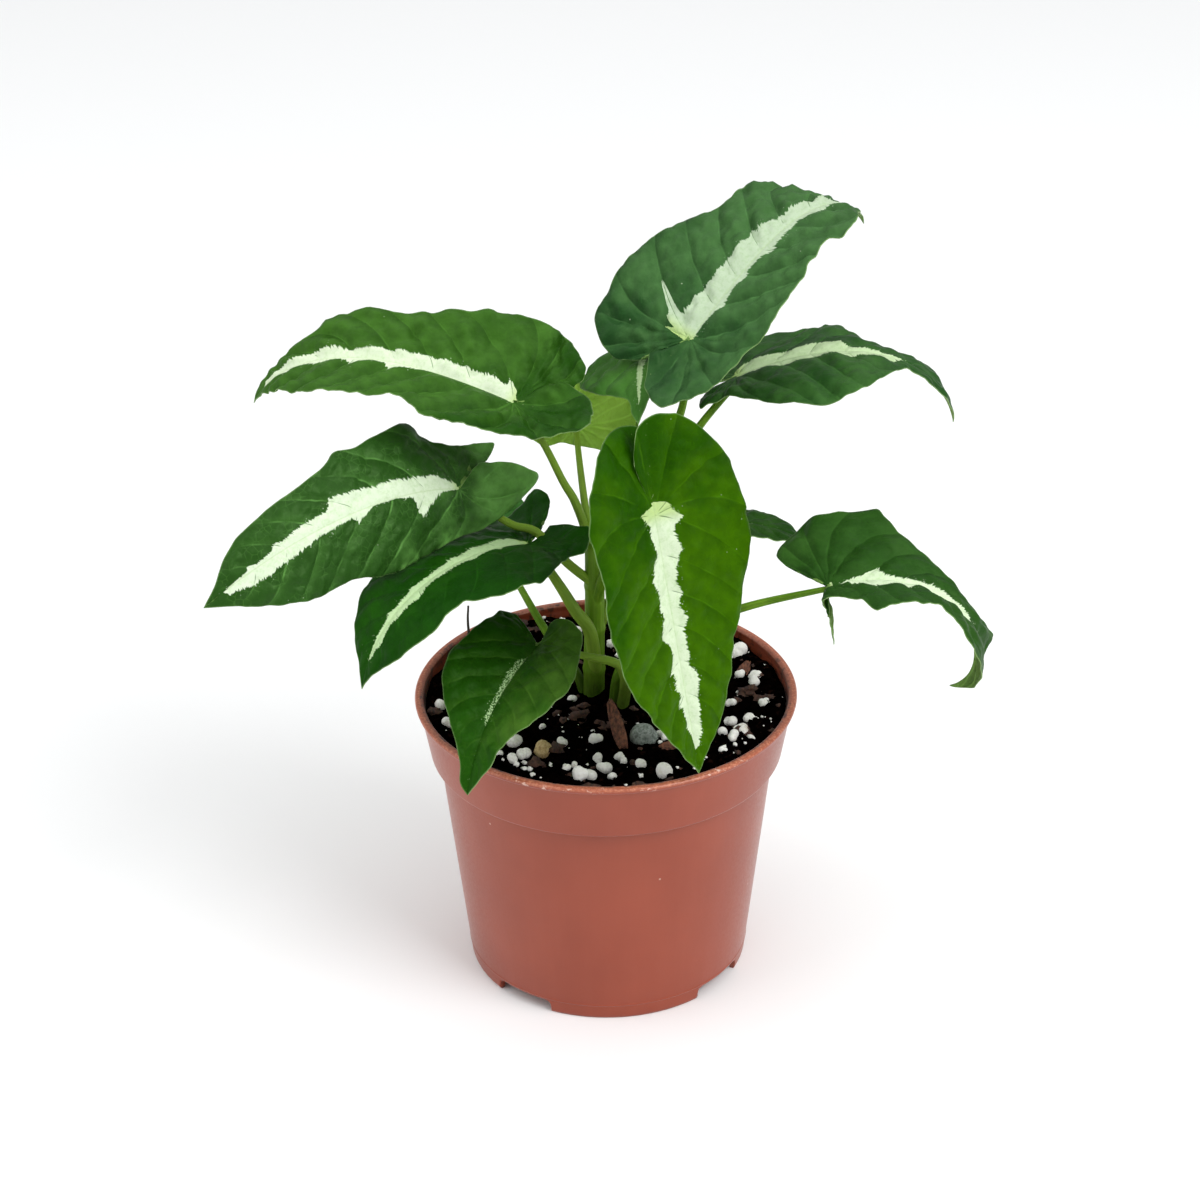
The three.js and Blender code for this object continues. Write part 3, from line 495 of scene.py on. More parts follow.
# %% The stripe table
STRIPES = {
    "leaf_upper_left": dict(
        right=((-3, -1), (0, 2.4), (4, 4.2), (14, 5), (23, 4.8), (35, 4.4), (49, 3.8), (59, 3), (65, 3.8),
            (73, 2.8), (81, 2.5), (91, 0.8), (94, -1)),
        left=((-1, -1), (0, 0.6), (4, 0.2), (11, -0.5), (25, -0.3), (32, 0.4), (38, 3.4), (43, 4.6), (44, 2),
            (58, 2), (73, 1.8), (82, 1.5), (91, 0.3), (94, -1)), solid=1, spurs=((1, 0, 3),)),
    "leaf_mid_left": dict(
        right=((-2, -1), (0, 0.6), (5, 3.2), (11, 4.6), (19, 4.6), (30, 5.4), (41, 6), (49, 7), (50, 4.2),
            (56, 3.4), (67, 2.6), (73, 1.4), (82, 0.8), (90, 0.3), (93, -1)),
        left=((-1, -1), (0, 0.2), (9, 1.2), (13, 3.4), (19, 7.6), (20, 1.6), (27, 0.3), (36, 0.3), (43, 3.4),
            (44, 1.2), (53, 1.8), (64, 2.9), (76, 3.8), (83, 3.6), (91, 1.2), (93, -1)), solid=1, spurs=()),
    "leaf_low_left": dict(
        right=((-3, -1), (0, 1.6), (4, 4.4), (14, 4.2), (22, 3.8), (33, 2.6), (49, 1.5), (62, 1.4),
            (78, 0.9), (87, 0.2), (91, -1)),
        left=((2, -1), (6, 0.2), (17, 1), (34, 2.6), (45, 1.9), (60, 3), (71, 1.8), (79, 1.6), (87, 1),
            (91, -1)), solid=0.92, spurs=()),
    "leaf_small_front": dict(
        right=((10, -1), (14, 0.8), (19, 2), (29, 2), (38, 1.5), (47, 1.2), (54, 1.2), (60, 0.6), (64, -1)),
        left=((11, -1), (15, 0.3), (28, 0.4), (45, 0.2), (60, 0.1), (63, -1)), solid=0.36, spurs=()),
    "leaf_front": dict(
        right=((-4, -1), (-2, 5.6), (1, 5.2), (3, 2.6), (7, 4.6), (14, 3), (19, 4.8), (24, 7), (28, 4.8),
            (37, 5.2), (44, 7), (48, 4), (60, 4), (65, 5.4), (68, 3.2), (77, 3.2), (81, 1.8), (88, 0.3),
            (91, -1)),
        left=((-5, -1), (-4, 4.4), (0, 6), (3, 8.6), (5, 5.6), (9, 4.8), (15, 7), (18, 4.2), (26, 3.2),
            (30, 4.4), (35, 2.6), (41, 4.8), (45, 3), (58, 3), (62, 4.6), (77, 3.4), (84, 2.8), (89, 1.4),
            (92, -1)), solid=1, spurs=()),
    "leaf_top": dict(
        right=((-1, -1), (0, 0.8), (11, 1), (17, 1.8), (27, 1.6), (38, 1.6), (44, 3.2), (54, 2), (60, 1.6),
            (65, 3), (81, 2.4), (89, 0.4), (92, -1)),
        left=((-2, -1), (-1, 4.6), (2, 6.6), (9, 7.4), (17, 7), (26, 6.8), (41, 7), (47, 5.2), (50, 6.2),
            (55, 3.8), (68, 5), (73, 3.8), (81, 2.2), (89, 0.3), (92, -1)), solid=1,
        spurs=((-1, 0, 13), (-1, 1, 5), (-1, -3, 3))),
    "leaf_right": dict(
        right=((-2, -1), (0, 1.2), (7, 3), (13, 4.6), (18, 6.4), (19, 4.8), (25, 5), (34, 4), (44, 5.2),
            (56, 4.6), (63, 2.4), (67, 0.3), (69, -1)),
        left=((-4, -1), (0, 4), (5, 6.4), (11, 5.6), (18, 5.2), (20, 3.6), (26, 5.2), (36, 6.4), (41, 5.8),
            (42, 3.2), (50, 2), (64, 0.8), (69, -1)), solid=1, spurs=()),
    "leaf_low_right": dict(
        right=((2, -1), (5, 1.6), (11, 5), (20, 6.4), (33, 5), (42, 1.4), (48, 2), (56, 3), (63, 0.8),
            (72, 1.2), (78, 0.8), (84, -1)),
        left=((3, -1), (7, 1), (14, 1.8), (20, 3.6), (23, 2.4), (34, 2), (46, 2.6), (57, 2.4), (63, 1.6),
            (72, 1.6), (80, 0.8), (86, -1)), solid=0.95, spurs=((-1, 0, 2.5), (-1, -1, 2.2))),
    "leaf_centre_back": dict(
        right=((-2, -1), (0, 0.8), (20, 0.9), (48, 0.9), (66, 0.9), (83, 0.4), (92, -1)),
        left=((-2, -1), (0, 0.8), (20, 1.1), (51, 1.1), (72, 1.0), (86, 0.6), (92, -1)), solid=1, spurs=()),
    "leaf_pale_back": dict(right=((0, 0.3), (8, 0.8), (70, 0.8), (80, -1)), left=((0, 0.3), (8, 0.8),
    (70, 0.8), (80, -1)), solid=0.6, spurs=()),
    "leaf_hidden_left": dict(right=((-2, -1), (2, 1.6), (40, 2), (75, 1.4), (88, -1)), left=((-2, -1),
    (2, 1.6), (40, 2), (75, 1.4), (88, -1)), solid=1, spurs=()),
    "leaf_behind_front": dict(right=((0, -1), (100, -1)), left=((0, -1), (100, -1)), solid=1, spurs=()),
}

SIDES = ("left", "right")
reaches = [reach for stripe in STRIPES.values() for side in SIDES for _, reach in stripe[side]]
print("widest reach of a stripe:", max(reaches), "mm")

# %% [markdown]
# ## Leaf blades: the cut of the margin
# The solid model keeps to a plain smooth margin. A real one is notched and bulges between its side veins,
# and its basal lobes are round, pointed or lapped over one another. The table lists points of the margin
# read off the photograph: (row, x, y), rows counting from 0 at the tip to 10 at the inner corner of the
# lobe, x and y in pixels of the picture. `most` limits a mark's pull, in mm along the midrib and away.

# %% The margin marks
PICTURE_SIZE = 1200
MARKS = {
    "leaf_mid_left": dict(
        most=(13, 10),
        right=((4.3, 321, 469), (4.7, 332, 452), (5, 350, 449.5), (5.3, 368, 440), (5.7, 390, 427.5),
            (6, 407, 423), (6.3, 418, 433), (6.7, 430, 442), (7, 445, 445), (7.7, 470, 444), (8.3, 487, 442),
            (8.7, 495, 442.5), (9, 490, 452), (9.3, 476, 458.5), (9.7, 464, 468), (10, 459.5, 479)),
        left=((7.7, 503, 515), (8, 518, 503), (8.3, 532, 488), (8.7, 541, 476), (9, 524, 466.5),
            (9.3, 504, 460.5), (9.7, 480, 461), (10, 471, 471))),
    "leaf_upper_left": dict(
        most=(12, 17),
        right=((2.7, 310, 335), (3, 326, 320), (3.3, 341, 315), (3.7, 364, 307), (4, 384, 310),
            (4.3, 404, 313.5), (4.7, 424, 311), (5, 437, 313), (5.3, 450, 308.5), (5.7, 472, 312),
            (6, 488, 309.5), (6.3, 511, 313), (6.7, 538, 320), (7, 553, 327), (9.3, 584, 379),
            (9.7, 573, 388), (10, 556, 391)),
        left=((5.3, 408, 402), (5.7, 420, 412), (6, 436, 418), (6.7, 483, 430), (7, 506, 434),
            (7.3, 524, 436), (7.7, 540, 438), (8, 550, 437), (8.3, 566, 434), (8.7, 587, 427), (9, 592, 413),
            (9.3, 588, 395), (9.7, 567, 382.5), (10, 540, 383.5))),
    "leaf_top": dict(
        most=(4, 4),
        right=((3, 851, 227), (3.3, 845, 235), (3.5, 838, 238), (3.7, 827, 238.5), (3.85, 823, 245),
            (4, 818, 252), (5.3, 793, 291), (5.7, 785, 302), (6, 775, 317), (6.3, 766, 334), (6.7, 750, 348),
            (7, 738, 365), (7.7, 712, 387), (8, 702, 394), (8.3, 687, 399), (8.7, 668, 407), (9, 656, 404),
            (9.3, 647, 394), (9.7, 644, 380), (10, 649, 354)),
        left=((3, 752, 182), (3.3, 743, 188), (9, 612, 356), (9.3, 625, 359), (9.7, 641, 361),
            (10, 658, 359))),
    "leaf_right": dict(
        most=(4, 4),
        left=((3, 905, 354), (3.3, 890, 349), (3.7, 874, 344), (4, 861, 338), (4.3, 850, 332),
            (4.7, 838, 324), (5, 828, 322.5), (5.3, 818, 328), (5.7, 808, 334), (6, 794, 334),
            (6.3, 778, 331), (6.7, 760, 336), (7, 741, 350)),
        right=((2.7, 918, 373), (3, 907, 368), (3.3, 894, 372), (3.7, 882, 379), (4, 868, 386),
            (4.3, 856, 392), (4.7, 845, 396), (6.7, 757, 400), (7, 736, 397), (7.3, 726, 393),
            (7.7, 718, 391), (8, 710, 390), (8.3, 704, 388), (8.7, 698, 386), (9, 697, 385), (9.3, 698, 385),
            (9.7, 703, 386), (10, 708, 388))),
    "leaf_front": dict(
        most=(6, 6),
        right=((6.7, 593, 553), (7, 589, 531), (7.3, 589, 511), (7.7, 592, 490), (8, 595.5, 474),
            (8.3, 598, 455), (8.7, 605, 439), (9, 614, 430), (9.3, 625, 426), (9.7, 638, 427),
            (10, 650, 440)),
        left=((3.7, 733, 645), (4, 735, 630), (4.3, 740, 618), (5.7, 748, 558), (6.3, 749, 525),
            (6.7, 745, 501), (7, 736.5, 480), (7.3, 733, 464), (7.7, 722, 449), (8, 710, 437),
            (8.3, 695, 422.5), (8.7, 674, 412), (9, 652, 415), (9.3, 638, 428), (9.7, 629, 450),
            (10, 631, 467))),
    "leaf_centre_back": dict(
        most=(6, 6),
        right=((5, 587, 369), (5.3, 592, 366), (5.7, 598, 361), (6, 605, 357), (6.3, 609, 353),
            (6.7, 610, 348), (7, 610, 344), (7.3, 610, 341), (7.7, 611, 338), (8, 613, 334),
            (8.3, 615, 328))),
    "leaf_pale_back": dict(
        most=(14, 9),
        right=((9.3, 560, 442.5), (9.7, 567, 443.5), (10, 573, 444.5)),
        left=((0.7, 571, 350), (1, 572, 356), (1.3, 573, 361), (1.7, 576, 367), (2, 580, 373),
            (2.3, 586, 378), (2.7, 594, 381), (3, 602, 382), (3.3, 610, 383), (3.7, 617, 383), (4, 622, 384),
            (4.3, 626, 385), (4.7, 629, 387), (5, 631, 390), (9.7, 583, 446), (10, 573, 445))),
    "leaf_small_front": dict(
        most=(6, 6),
        right=((7, 493, 616), (7.3, 497, 612), (8, 503, 610), (8.7, 511, 612), (9, 517, 615),
            (9.3, 521, 621), (9.7, 525, 631), (10, 528, 641)),
        left=((6.3, 580, 662), (6.7, 580, 654), (7, 581, 648), (7.3, 583, 642), (7.7, 583, 637),
            (8, 580, 630), (8.3, 574, 624), (8.7, 566, 618.5), (9, 557, 618.5), (9.3, 550, 623),
            (9.7, 546, 631), (10, 544, 640))),
    "leaf_low_left": dict(
        most=(3, 7),
        left=((6.7, 563, 562), (7, 570, 557), (7.3, 575, 554.5), (7.7, 584, 554), (8, 588, 548),
            (8.3, 590, 539), (8.7, 589, 530), (9, 584, 523.5), (9.3, 575, 526), (9.7, 561, 520.5),
            (10, 548, 525)),
        right=((8.3, 527, 498), (8.7, 534, 488), (9, 543, 493), (9.3, 550, 499), (9.7, 549, 509),
            (10, 538, 517))),
    "leaf_low_right": dict(
        most=(4, 4),
        left=((1, 959, 683), (1.3, 968, 679), (1.7, 974, 669), (2, 983, 653), (2.3, 994, 637),
            (2.7, 987, 627), (3, 981, 618), (3.3, 974, 609), (3.7, 964, 597), (4, 954, 584), (4.3, 945, 573),
            (4.7, 932, 562), (5, 920, 550), (5.3, 908, 539), (5.7, 896, 533), (6, 885, 515), (6.3, 870, 509),
            (6.7, 846, 512), (7, 826, 514), (7.3, 810, 518), (9.7, 788, 569), (10, 803, 571)),
        right=((3, 963, 637), (3.3, 957, 622), (3.7, 950, 611), (4, 938, 605), (4.3, 925, 603.5),
            (4.7, 908, 602), (5, 892, 603), (5.3, 882, 608), (5.5, 876, 612), (5.7, 871, 606), (6, 860, 599),
            (6.3, 848, 594), (6.7, 836, 597), (7, 829, 604))),
}

print("margin marks:", sum(len(marks.get(side, ())) for marks in MARKS.values() for side in SIDES))

# %% [markdown]
# ## Leaf blades: the midrib
# The midrib leaves the stalk at an angle, arches over and twists under the leaf's weight. It could be a
# spline bent by hand, but a direction that changes by a formula keeps the arch even and takes few numbers
# a leaf. The midrib is the sum of short steps along it.

# %% The midrib
HANG_REACH = 0.12
RIB_STEPS = 40


def rib_direction(leaf, half, s):
    """Direction of the midrib at distance s from the stalk: pitch gains droop times u and sag times the
    cube of u, u being s over the length, and behind the stalk the lobe drops and may hang."""
    u = np.maximum(s / leaf["length"], 0)
    b = np.maximum(-s / half["lobe"], 0)
    lobe = half["drop"] * b + half.get("hang", 0) * np.minimum(b / HANG_REACH, 1)
    pitch = np.radians(leaf["pitch"] + leaf["droop"] * u + leaf["sag"] * u**3 + lobe)
    heading = np.radians(leaf["heading"] + leaf["turn"] * u)
    roll = np.radians(leaf["roll"] + leaf["twist"] * u)
    along = np.stack([np.cos(pitch) * np.cos(heading), np.cos(pitch) * np.sin(heading), np.sin(pitch)], -1)
    return along, heading, roll


def rib_frame(leaf, half, s):
    """Point, right-hand side and upper normal of the midrib at distances s. The point adds up the
    direction at the middles of even steps from the stalk."""
    middles = (np.arange(RIB_STEPS) + 0.5) / RIB_STEPS
    steps, _, _ = rib_direction(leaf, half, s[..., None] * middles)
    point = np.array(leaf["at"]) + steps.sum(-2) * (s / RIB_STEPS)[..., None]
    along, heading, roll = rib_direction(leaf, half, s)
    level = np.stack([np.sin(heading), -np.cos(heading), np.zeros_like(heading)], -1)
    up = np.cross(level, along)
    c, n = np.cos(roll)[..., None], np.sin(roll)[..., None]
    return point, level * c - up * n, up * c + level * n


tips = [rib_frame(leaf, leaf["right"], np.array([leaf["length"]]))[0][0, 2] for leaf in LEAVES.values()]
print("the tips hang", round(min(tips)), "to", round(max(tips)), "mm above the floor")

# %% [markdown]
# ## Leaf blades: the plain half
# Seen flat, a half blade swells from the tip and ends in a lobe behind the stalk. A few widths along the
# midrib and four points round the lobe give its margin. The half then rises by its fold and bends along
# an arc, which keeps its width, as a real leaf can curl but not stretch.

# %% Margin and bend
STATIONS = (0.93, 0.82, 0.68, 0.52, 0.36, 0.2)
SPANS = len(STATIONS) + 4
ROWS, COLUMNS = SPANS * 15, 38
ROW_NUMBERS = np.arange(ROWS + 1) * SPANS / ROWS
LAP = 0.2


def margin(leaf, half):
    """The margin of one half in the flat, (along, away from the midrib), from the tip round to the inner
    corner of the lobe, as a smooth curve."""
    w, b = half["width"], half["lobe"]
    points = [(leaf["length"], 0)]
    points += [(at * leaf["length"], e * w) for at, e in zip(STATIONS, half["edge"])]
    points += [(-0.12 * b, half["shoulder"] * w), (-0.62 * b, 0.93 * half["shoulder"] * w)]
    points += [(-b, half["back"] * w), (-0.7 * b, half["inner"] * w)]
    return smooth_path(points, ROWS + 1)


def bent(leaf, half, s, t):
    """Points of a half blade, s along and t away from the midrib. The half rises by its fold, bends along
    an arc, waves towards the margin, and rises a little where it laps over the midrib."""
    sign = 1 if half is leaf["right"] else -1
    point, side, normal = rib_frame(leaf, half, s)
    fold = math.radians(half["fold"])
    bend = math.radians(half["curl"] + 1e-3) / half["width"]
    out = (math.sin(fold) - np.sin(fold - bend * t)) / bend
    rise = (np.cos(fold - bend * t) - math.cos(fold)) / bend + LAP * np.maximum(-t, 0)
    height, count, phase = leaf["wave"]
    rise += height * (t / half["width"]) ** 2 * np.sin(2 * np.pi * count * s / leaf["length"] + phase + sign)
    return point + (sign * out)[..., None] * side + rise[..., None] * normal


outlines = [margin(leaf, leaf[side]) for leaf in LEAVES.values() for side in SIDES]
print("half blades:", len(outlines), "up to", round(np.max(outlines, 1)[:, 1].max()), "mm wide")

# %% [markdown]
# ## Leaf blades: pulling the margin to its marks
# A mark says where a point of the margin is seen, not where it is. Moving the point in the flat, along or
# away from the midrib, moves it in the picture, and a few small steps bring it to its mark. It stays on
# its bent half, where a free move in space would crumple the blade.

# %% Pulled margin
PULL_ROUNDS, LONGEST_PULL, NUDGE = 30, 2, 0.05
DAMPING, HOMING = 0.35, 0.02
FADE_ROWS, SMOOTHINGS, WAVINESS = 0.4, 3, 0.3


def in_picture(points):
    """Where points are seen in the photograph, in its pixels, by the camera's pose and lens."""
    pose = np.array(camera.matrix_world)
    local = (points * MM - pose[:3, 3]) @ pose[:3, :3]
    scale = camera.data.lens / camera.data.sensor_width * PICTURE_SIZE
    return PICTURE_SIZE / 2 + scale * local[..., :2] / -local[..., 2:] * (1, -1)


def pulled(leaf, half, start, seen, most):
    """Moves that bring margin points to where they are seen, by damped Newton steps with slopes from a
    small nudge, a weak pull back home, and a limit to a step and to the whole move."""
    place = start.copy()
    for _ in range(PULL_ROUNDS):
        now = in_picture(bent(leaf, half, *place.T))
        slope = np.stack([(in_picture(bent(leaf, half, *(place + NUDGE * way).T)) - now) / NUDGE
                          for way in np.eye(2)], -1)
        across = slope.transpose(0, 2, 1)
        pull = (across @ (seen - now)[..., None])[..., 0] - HOMING * (place - start)
        step = np.linalg.solve(across @ slope + DAMPING * np.eye(2), pull[..., None])[..., 0]
        size = np.maximum(np.linalg.norm(step, axis=1, keepdims=True), 1e-9)
        place += step * np.minimum(1, LONGEST_PULL / size)
    return np.clip(place - start, -np.array(most), most)


def trimmed(name, side):
    """The margin pulled to its marks, even between them and rounded off, with a fine waviness."""
    leaf = LEAVES[name]
    end = margin(leaf, leaf[side])
    if side in MARKS.get(name, ()):
        at, x, y = np.transpose(MARKS[name][side])
        start = np.stack([np.interp(at, ROW_NUMBERS, end[:, k]) for k in (0, 1)], -1)
        moves = pulled(leaf, leaf[side], start, np.stack([x, y], -1), MARKS[name]["most"])
        ends = (at[0] - FADE_ROWS, *at, at[-1] + FADE_ROWS)
        moves = np.vstack([(0, 0), moves, (0, 0)])
        move = np.stack([np.interp(ROW_NUMBERS, ends, moves[:, k]) for k in (0, 1)], -1)
        for _ in range(SMOOTHINGS):
            move[1:-1] = (move[:-2] + 2 * move[1:-1] + move[2:]) / 4
        end = end + move
    return end + WAVINESS * (ripple(end, 7.0, len(name)) * np.clip(ROW_NUMBERS / 4, 0, 1))[:, None]


moved = trimmed("leaf_top", "left") - margin(LEAVES["leaf_top"], LEAVES["leaf_top"]["left"])
print("the top leaf's left margin moves by up to", round(np.linalg.norm(moved, axis=1).max(), 1), "mm")

# %% [markdown]
# ## Leaf blades: rows and side veins
# A half blade is ruled like a real one: rows leave the midrib like side veins and run to the margin, and
# round the stalk they fan out over the basal lobe. A plain grid would run across the veins. Each point
# also learns its place in the flat, its vein, and how far the next vein and the margin are, because
# reliefs and finishes are written in those numbers.

# %% Rows and veins
VEIN_LEAN = 0.14
FIRST_VEIN_ROW, VEINS_PER_SPAN, VEIN_BOW = 6.4, 1.35, 0.85
CROWDING = 1.25
WIDEST_GAP = 30


def row_starts(length):
    """Where each row leaves the midrib: nearer the stalk than its margin point by the veins' lean."""
    at = np.interp(ROW_NUMBERS, range(SPANS + 1), (1, *STATIONS, 0, 0, 0, 0))
    return np.maximum(0, (1 + VEIN_LEAN) * at - VEIN_LEAN) * length


def vein_gap(vein, s, t):
    """Distance between neighbouring veins: one over the slope of the vein number in the flat."""
    dv, ds, dt = ([np.gradient(number, axis=k) for k in (0, 1)] for number in (vein, s, t))
    area = ds[0] * dt[1] - ds[1] * dt[0]
    area = np.where(np.abs(area) < 1e-6, 1e-6, area)
    slope_s = (dv[0] * dt[1] - dv[1] * dt[0]) / area
    slope_t = (dv[1] * ds[0] - dv[0] * ds[1]) / area
    return np.clip(1 / np.maximum(np.hypot(slope_s, slope_t), 1e-3), 0, WIDEST_GAP)


def stripe_reach(name, sign, s, vein):
    """The stripe's reach from the midrib, and how much farther it runs along the nearest vein, which a
    sine of the vein's number makes uneven."""
    stripe, length = STRIPES[name], LEAVES[name]["length"]
    hundredths, widths = np.transpose(stripe["right" if sign > 0 else "left"])
    width = np.interp(s / length * 100, hundredths, widths)
    nearest = np.round(vein)
    spur = np.where(width > 0.8, 0.4 + 0.6 * np.sin(7.3 * nearest + 2 * sign + length), 0)
    for which, number, far in stripe["spurs"]:
        spur = np.where((which == sign) & (nearest == number), far, spur)
    return width, spur


def half_blade(name, sign):
    """One half as a grid: rows from tip to lobe, columns from midrib to margin, with its values. A side
    vein bows towards the tip: it keeps its number while its row number falls by the bow."""
    leaf, key = LEAVES[name], "right" if sign > 0 else "left"
    f = (np.arange(COLUMNS + 1) / COLUMNS)[None] ** CROWDING
    row = ROW_NUMBERS[:, None]
    start = row_starts(leaf["length"])[:, None]
    end = trimmed(name, key)
    s = start + (end[:, :1] - start) * f
    t = end[:, 1:] * f
    bow = VEIN_BOW * np.clip((8.5 - row) / 3, 0, 1)
    vein = VEINS_PER_SPAN * (row + bow * f**1.5 - FIRST_VEIN_ROW)
    edge = (1 - f) * np.hypot(end[:, :1] - start, end[:, 1:])
    width, spur = stripe_reach(name, sign, s, vein)
    rib = np.stack([vein, edge, vein_gap(vein, s, t)], -1)
    values = dict(flat=np.stack([s, sign * t, width], -1), rib=rib, spur=np.broadcast_to(spur, s.shape))
    return bent(leaf, leaf[key], s, t), values


print("a half blade is a grid of", ROWS + 1, "by", COLUMNS + 1, "points")

# %% [markdown]
# ## Leaf blades: the reliefs
# The skin stands up in pillows between sunken side veins, it is wrinkled, and the midrib is a groove
# above. This could be sculpted, but formulas in the vein numbers follow every vein of every leaf. Each
# leaf has its own strength, since young leaves are smooth and old ones puckered.

# %% Reliefs
# How strongly the skin is puckered, in mm, on the left and on the right half, and how high the pillows
# between the side veins stand, in mm
RELIEFS = {
    "leaf_top": (1.1, 0.6, 1.2), "leaf_front": (0.4, 0.45, 1.0), "leaf_upper_left": (0.7, 0.85, 1.5),
    "leaf_mid_left": (0.6, 0.65, 0.4), "leaf_right": (0.5, 0.5, 0.8), "leaf_low_left": (0.45, 0.45, 0.5),
    "leaf_small_front": (0.5, 0.5, 0.6),
}
PLAIN_RELIEF = (0.5, 0.5, 0.8)


def pillows(seed, high, flat, vein, gap):
    """Height between side veins: a broad hump, the square of a sine of the vein number, and a crease at
    the vein itself, both lower where veins stand close and uneven from place to place."""
    strong = high * (1 + 0.55 * ripple(flat, 22.0, seed + 3))
    broad = np.sin(np.pi * vein) ** 2 * np.clip(gap / 9, 0, 1)
    crease = 1 - bell(np.abs(vein - np.round(vein)) * gap, 1.6)
    return strong * (0.65 * broad + 0.35 * crease * np.clip(gap / 6, 0, 1))


def reliefs(name, values):
    """Height of the skin: pillows between the side veins, wrinkles of three sizes, the midrib's groove,
    and small scallops along the margin."""
    s, t, _ = np.moveaxis(values["flat"], -1, 0)
    vein, edge, gap = np.moveaxis(values["rib"], -1, 0)
    flat = np.stack([s, t], -1)
    seed = int(LEAVES[name]["length"] * 10)
    left, right, high = RELIEFS.get(name, PLAIN_RELIEF)
    inside, rim = 1 - bell(t, 2.5), 1 - bell(edge, 1.5)
    puckered = np.where(t < 0, left, right)
    height = pillows(seed, high, flat, vein, gap) * inside * rim
    wrinkles = 0.42 * ripple(flat, 9.0, seed) * inside + puckered * ripple(flat, 5.0, seed + 1, 14) * inside
    wrinkles += 0.35 * puckered * ripple(flat, 3.0, seed + 4, 14) * inside
    groove = -0.28 * bell(t, 0.7) * (s > 0)
    scallop = 0.2 * ripple(flat, 5.0, seed + 2) * bell(edge, 2.0) * inside
    return height + wrinkles + groove + scallop


height = reliefs("leaf_top", half_blade("leaf_top", 1)[1])
print("the top leaf's right half is", round(np.ptp(height), 1), "mm uneven")

# %% [markdown]
# ## Leaf blades: two skins and an edge
# A blade is thinner at its margin, and below, the midrib stands out as a keel. Solidify would give one
# thickness all over, so both skins are worked out from one middle surface, and a band closes them.

# %% Whole blades
BLADE_THICKNESS, MARGIN_THICKNESS, THINNING_REACH = 0.6, 0.24, 3.0
KEEL_DEPTH, KEEL_WIDTH = 0.75, 0.8


def both_halves(name):
    """The left half, turned round, and the right half side by side in one grid, and their values."""
    right, values_right = half_blade(name, 1)
    left, values_left = half_blade(name, -1)
    points = np.concatenate([left[:, :0:-1], right], 1)
    return points, {k: np.concatenate([values_left[k][:, :0:-1], values_right[k]], 1) for k in values_right}


def skins(name, middle, normals, numbers):
    """The upper and the lower skin, half a thickness off the middle. The keel, which deepens the lower
    one, dies away towards tip, stalk and margin."""
    edge = np.clip(numbers["rib"][:, 1], 0, None)
    thick = MARGIN_THICKNESS + (BLADE_THICKNESS - MARGIN_THICKNESS) * (1 - np.exp(-edge / THINNING_REACH))
    s, t = numbers["flat"][:, 0], numbers["flat"][:, 1]
    keel = KEEL_DEPTH * bell(t, KEEL_WIDTH) * np.clip(1 - s / LEAVES[name]["length"], 0, 1) ** 0.6
    keel = keel * np.clip(1 + s / 2.5, 0, 1) * np.clip(edge / 1.5, 0, 1)
    return middle + normals * thick[:, None] / 2, middle - normals * (thick / 2 + keel)[:, None]


def edge_loop(to, columns):
    """The welded points round a blade: down the left margin, along the last row, up the right margin."""
    ids = to.reshape(-1, columns)
    loop = np.concatenate([ids[:, 0], ids[-1, 1:], ids[-2::-1, -1]])
    loop = loop[np.concatenate([[True], loop[1:] != loop[:-1]])]
    return loop[:-1] if loop[0] == loop[-1] else loop


def blade(name):
    """A closed blade: both halves raised by the reliefs, two skins, and a band round the edge. A
    triangle's layer is 0 above, 1 below and 2 at the edge."""
    points, values = both_halves(name)
    columns = points.shape[1]
    points = points.reshape(-1, 3)
    kept, triangles, to = welded(points, grid_triangles(ROWS + 1, columns)[:, ::-1])
    numbers = {k: v.reshape(len(points), -1)[kept] for k, v in values.items()}
    middle, lift = points[kept], reliefs(name, values).reshape(-1)[kept]
    middle = middle + point_normals(middle, triangles) * lift[:, None]
    upper, lower = skins(name, middle, point_normals(middle, triangles), numbers)

    loop, below = edge_loop(to, columns), len(middle)
    ahead = np.roll(loop, -1)
    band = np.vstack([np.stack([ahead, loop, loop + below], 1),
                      np.stack([ahead, loop + below, ahead + below], 1)])
    faces = np.vstack([triangles, triangles[:, ::-1] + below, band])
    layer = np.repeat([0, 1, 2], [len(triangles), len(triangles), len(band)])
    attributes = {k: np.squeeze(np.vstack([v, v])) for k, v in numbers.items()}
    return np.vstack([upper, lower]), faces, layer, attributes


print("a blade is", MARGIN_THICKNESS, "mm thick at its margin and up to", BLADE_THICKNESS, "mm inside")

# %% [markdown]
# ## Leaf finishes: where a point lies
# A leaf's markings follow the blade and not the room. They read `flat`, the distances along and away from
# the midrib and the stripe's reach, and `rib`, the vein's number and the distances to the margin and
# between veins. A picture laid on the blade would be as coarse as its pixels.

# %% A finish that knows the blade


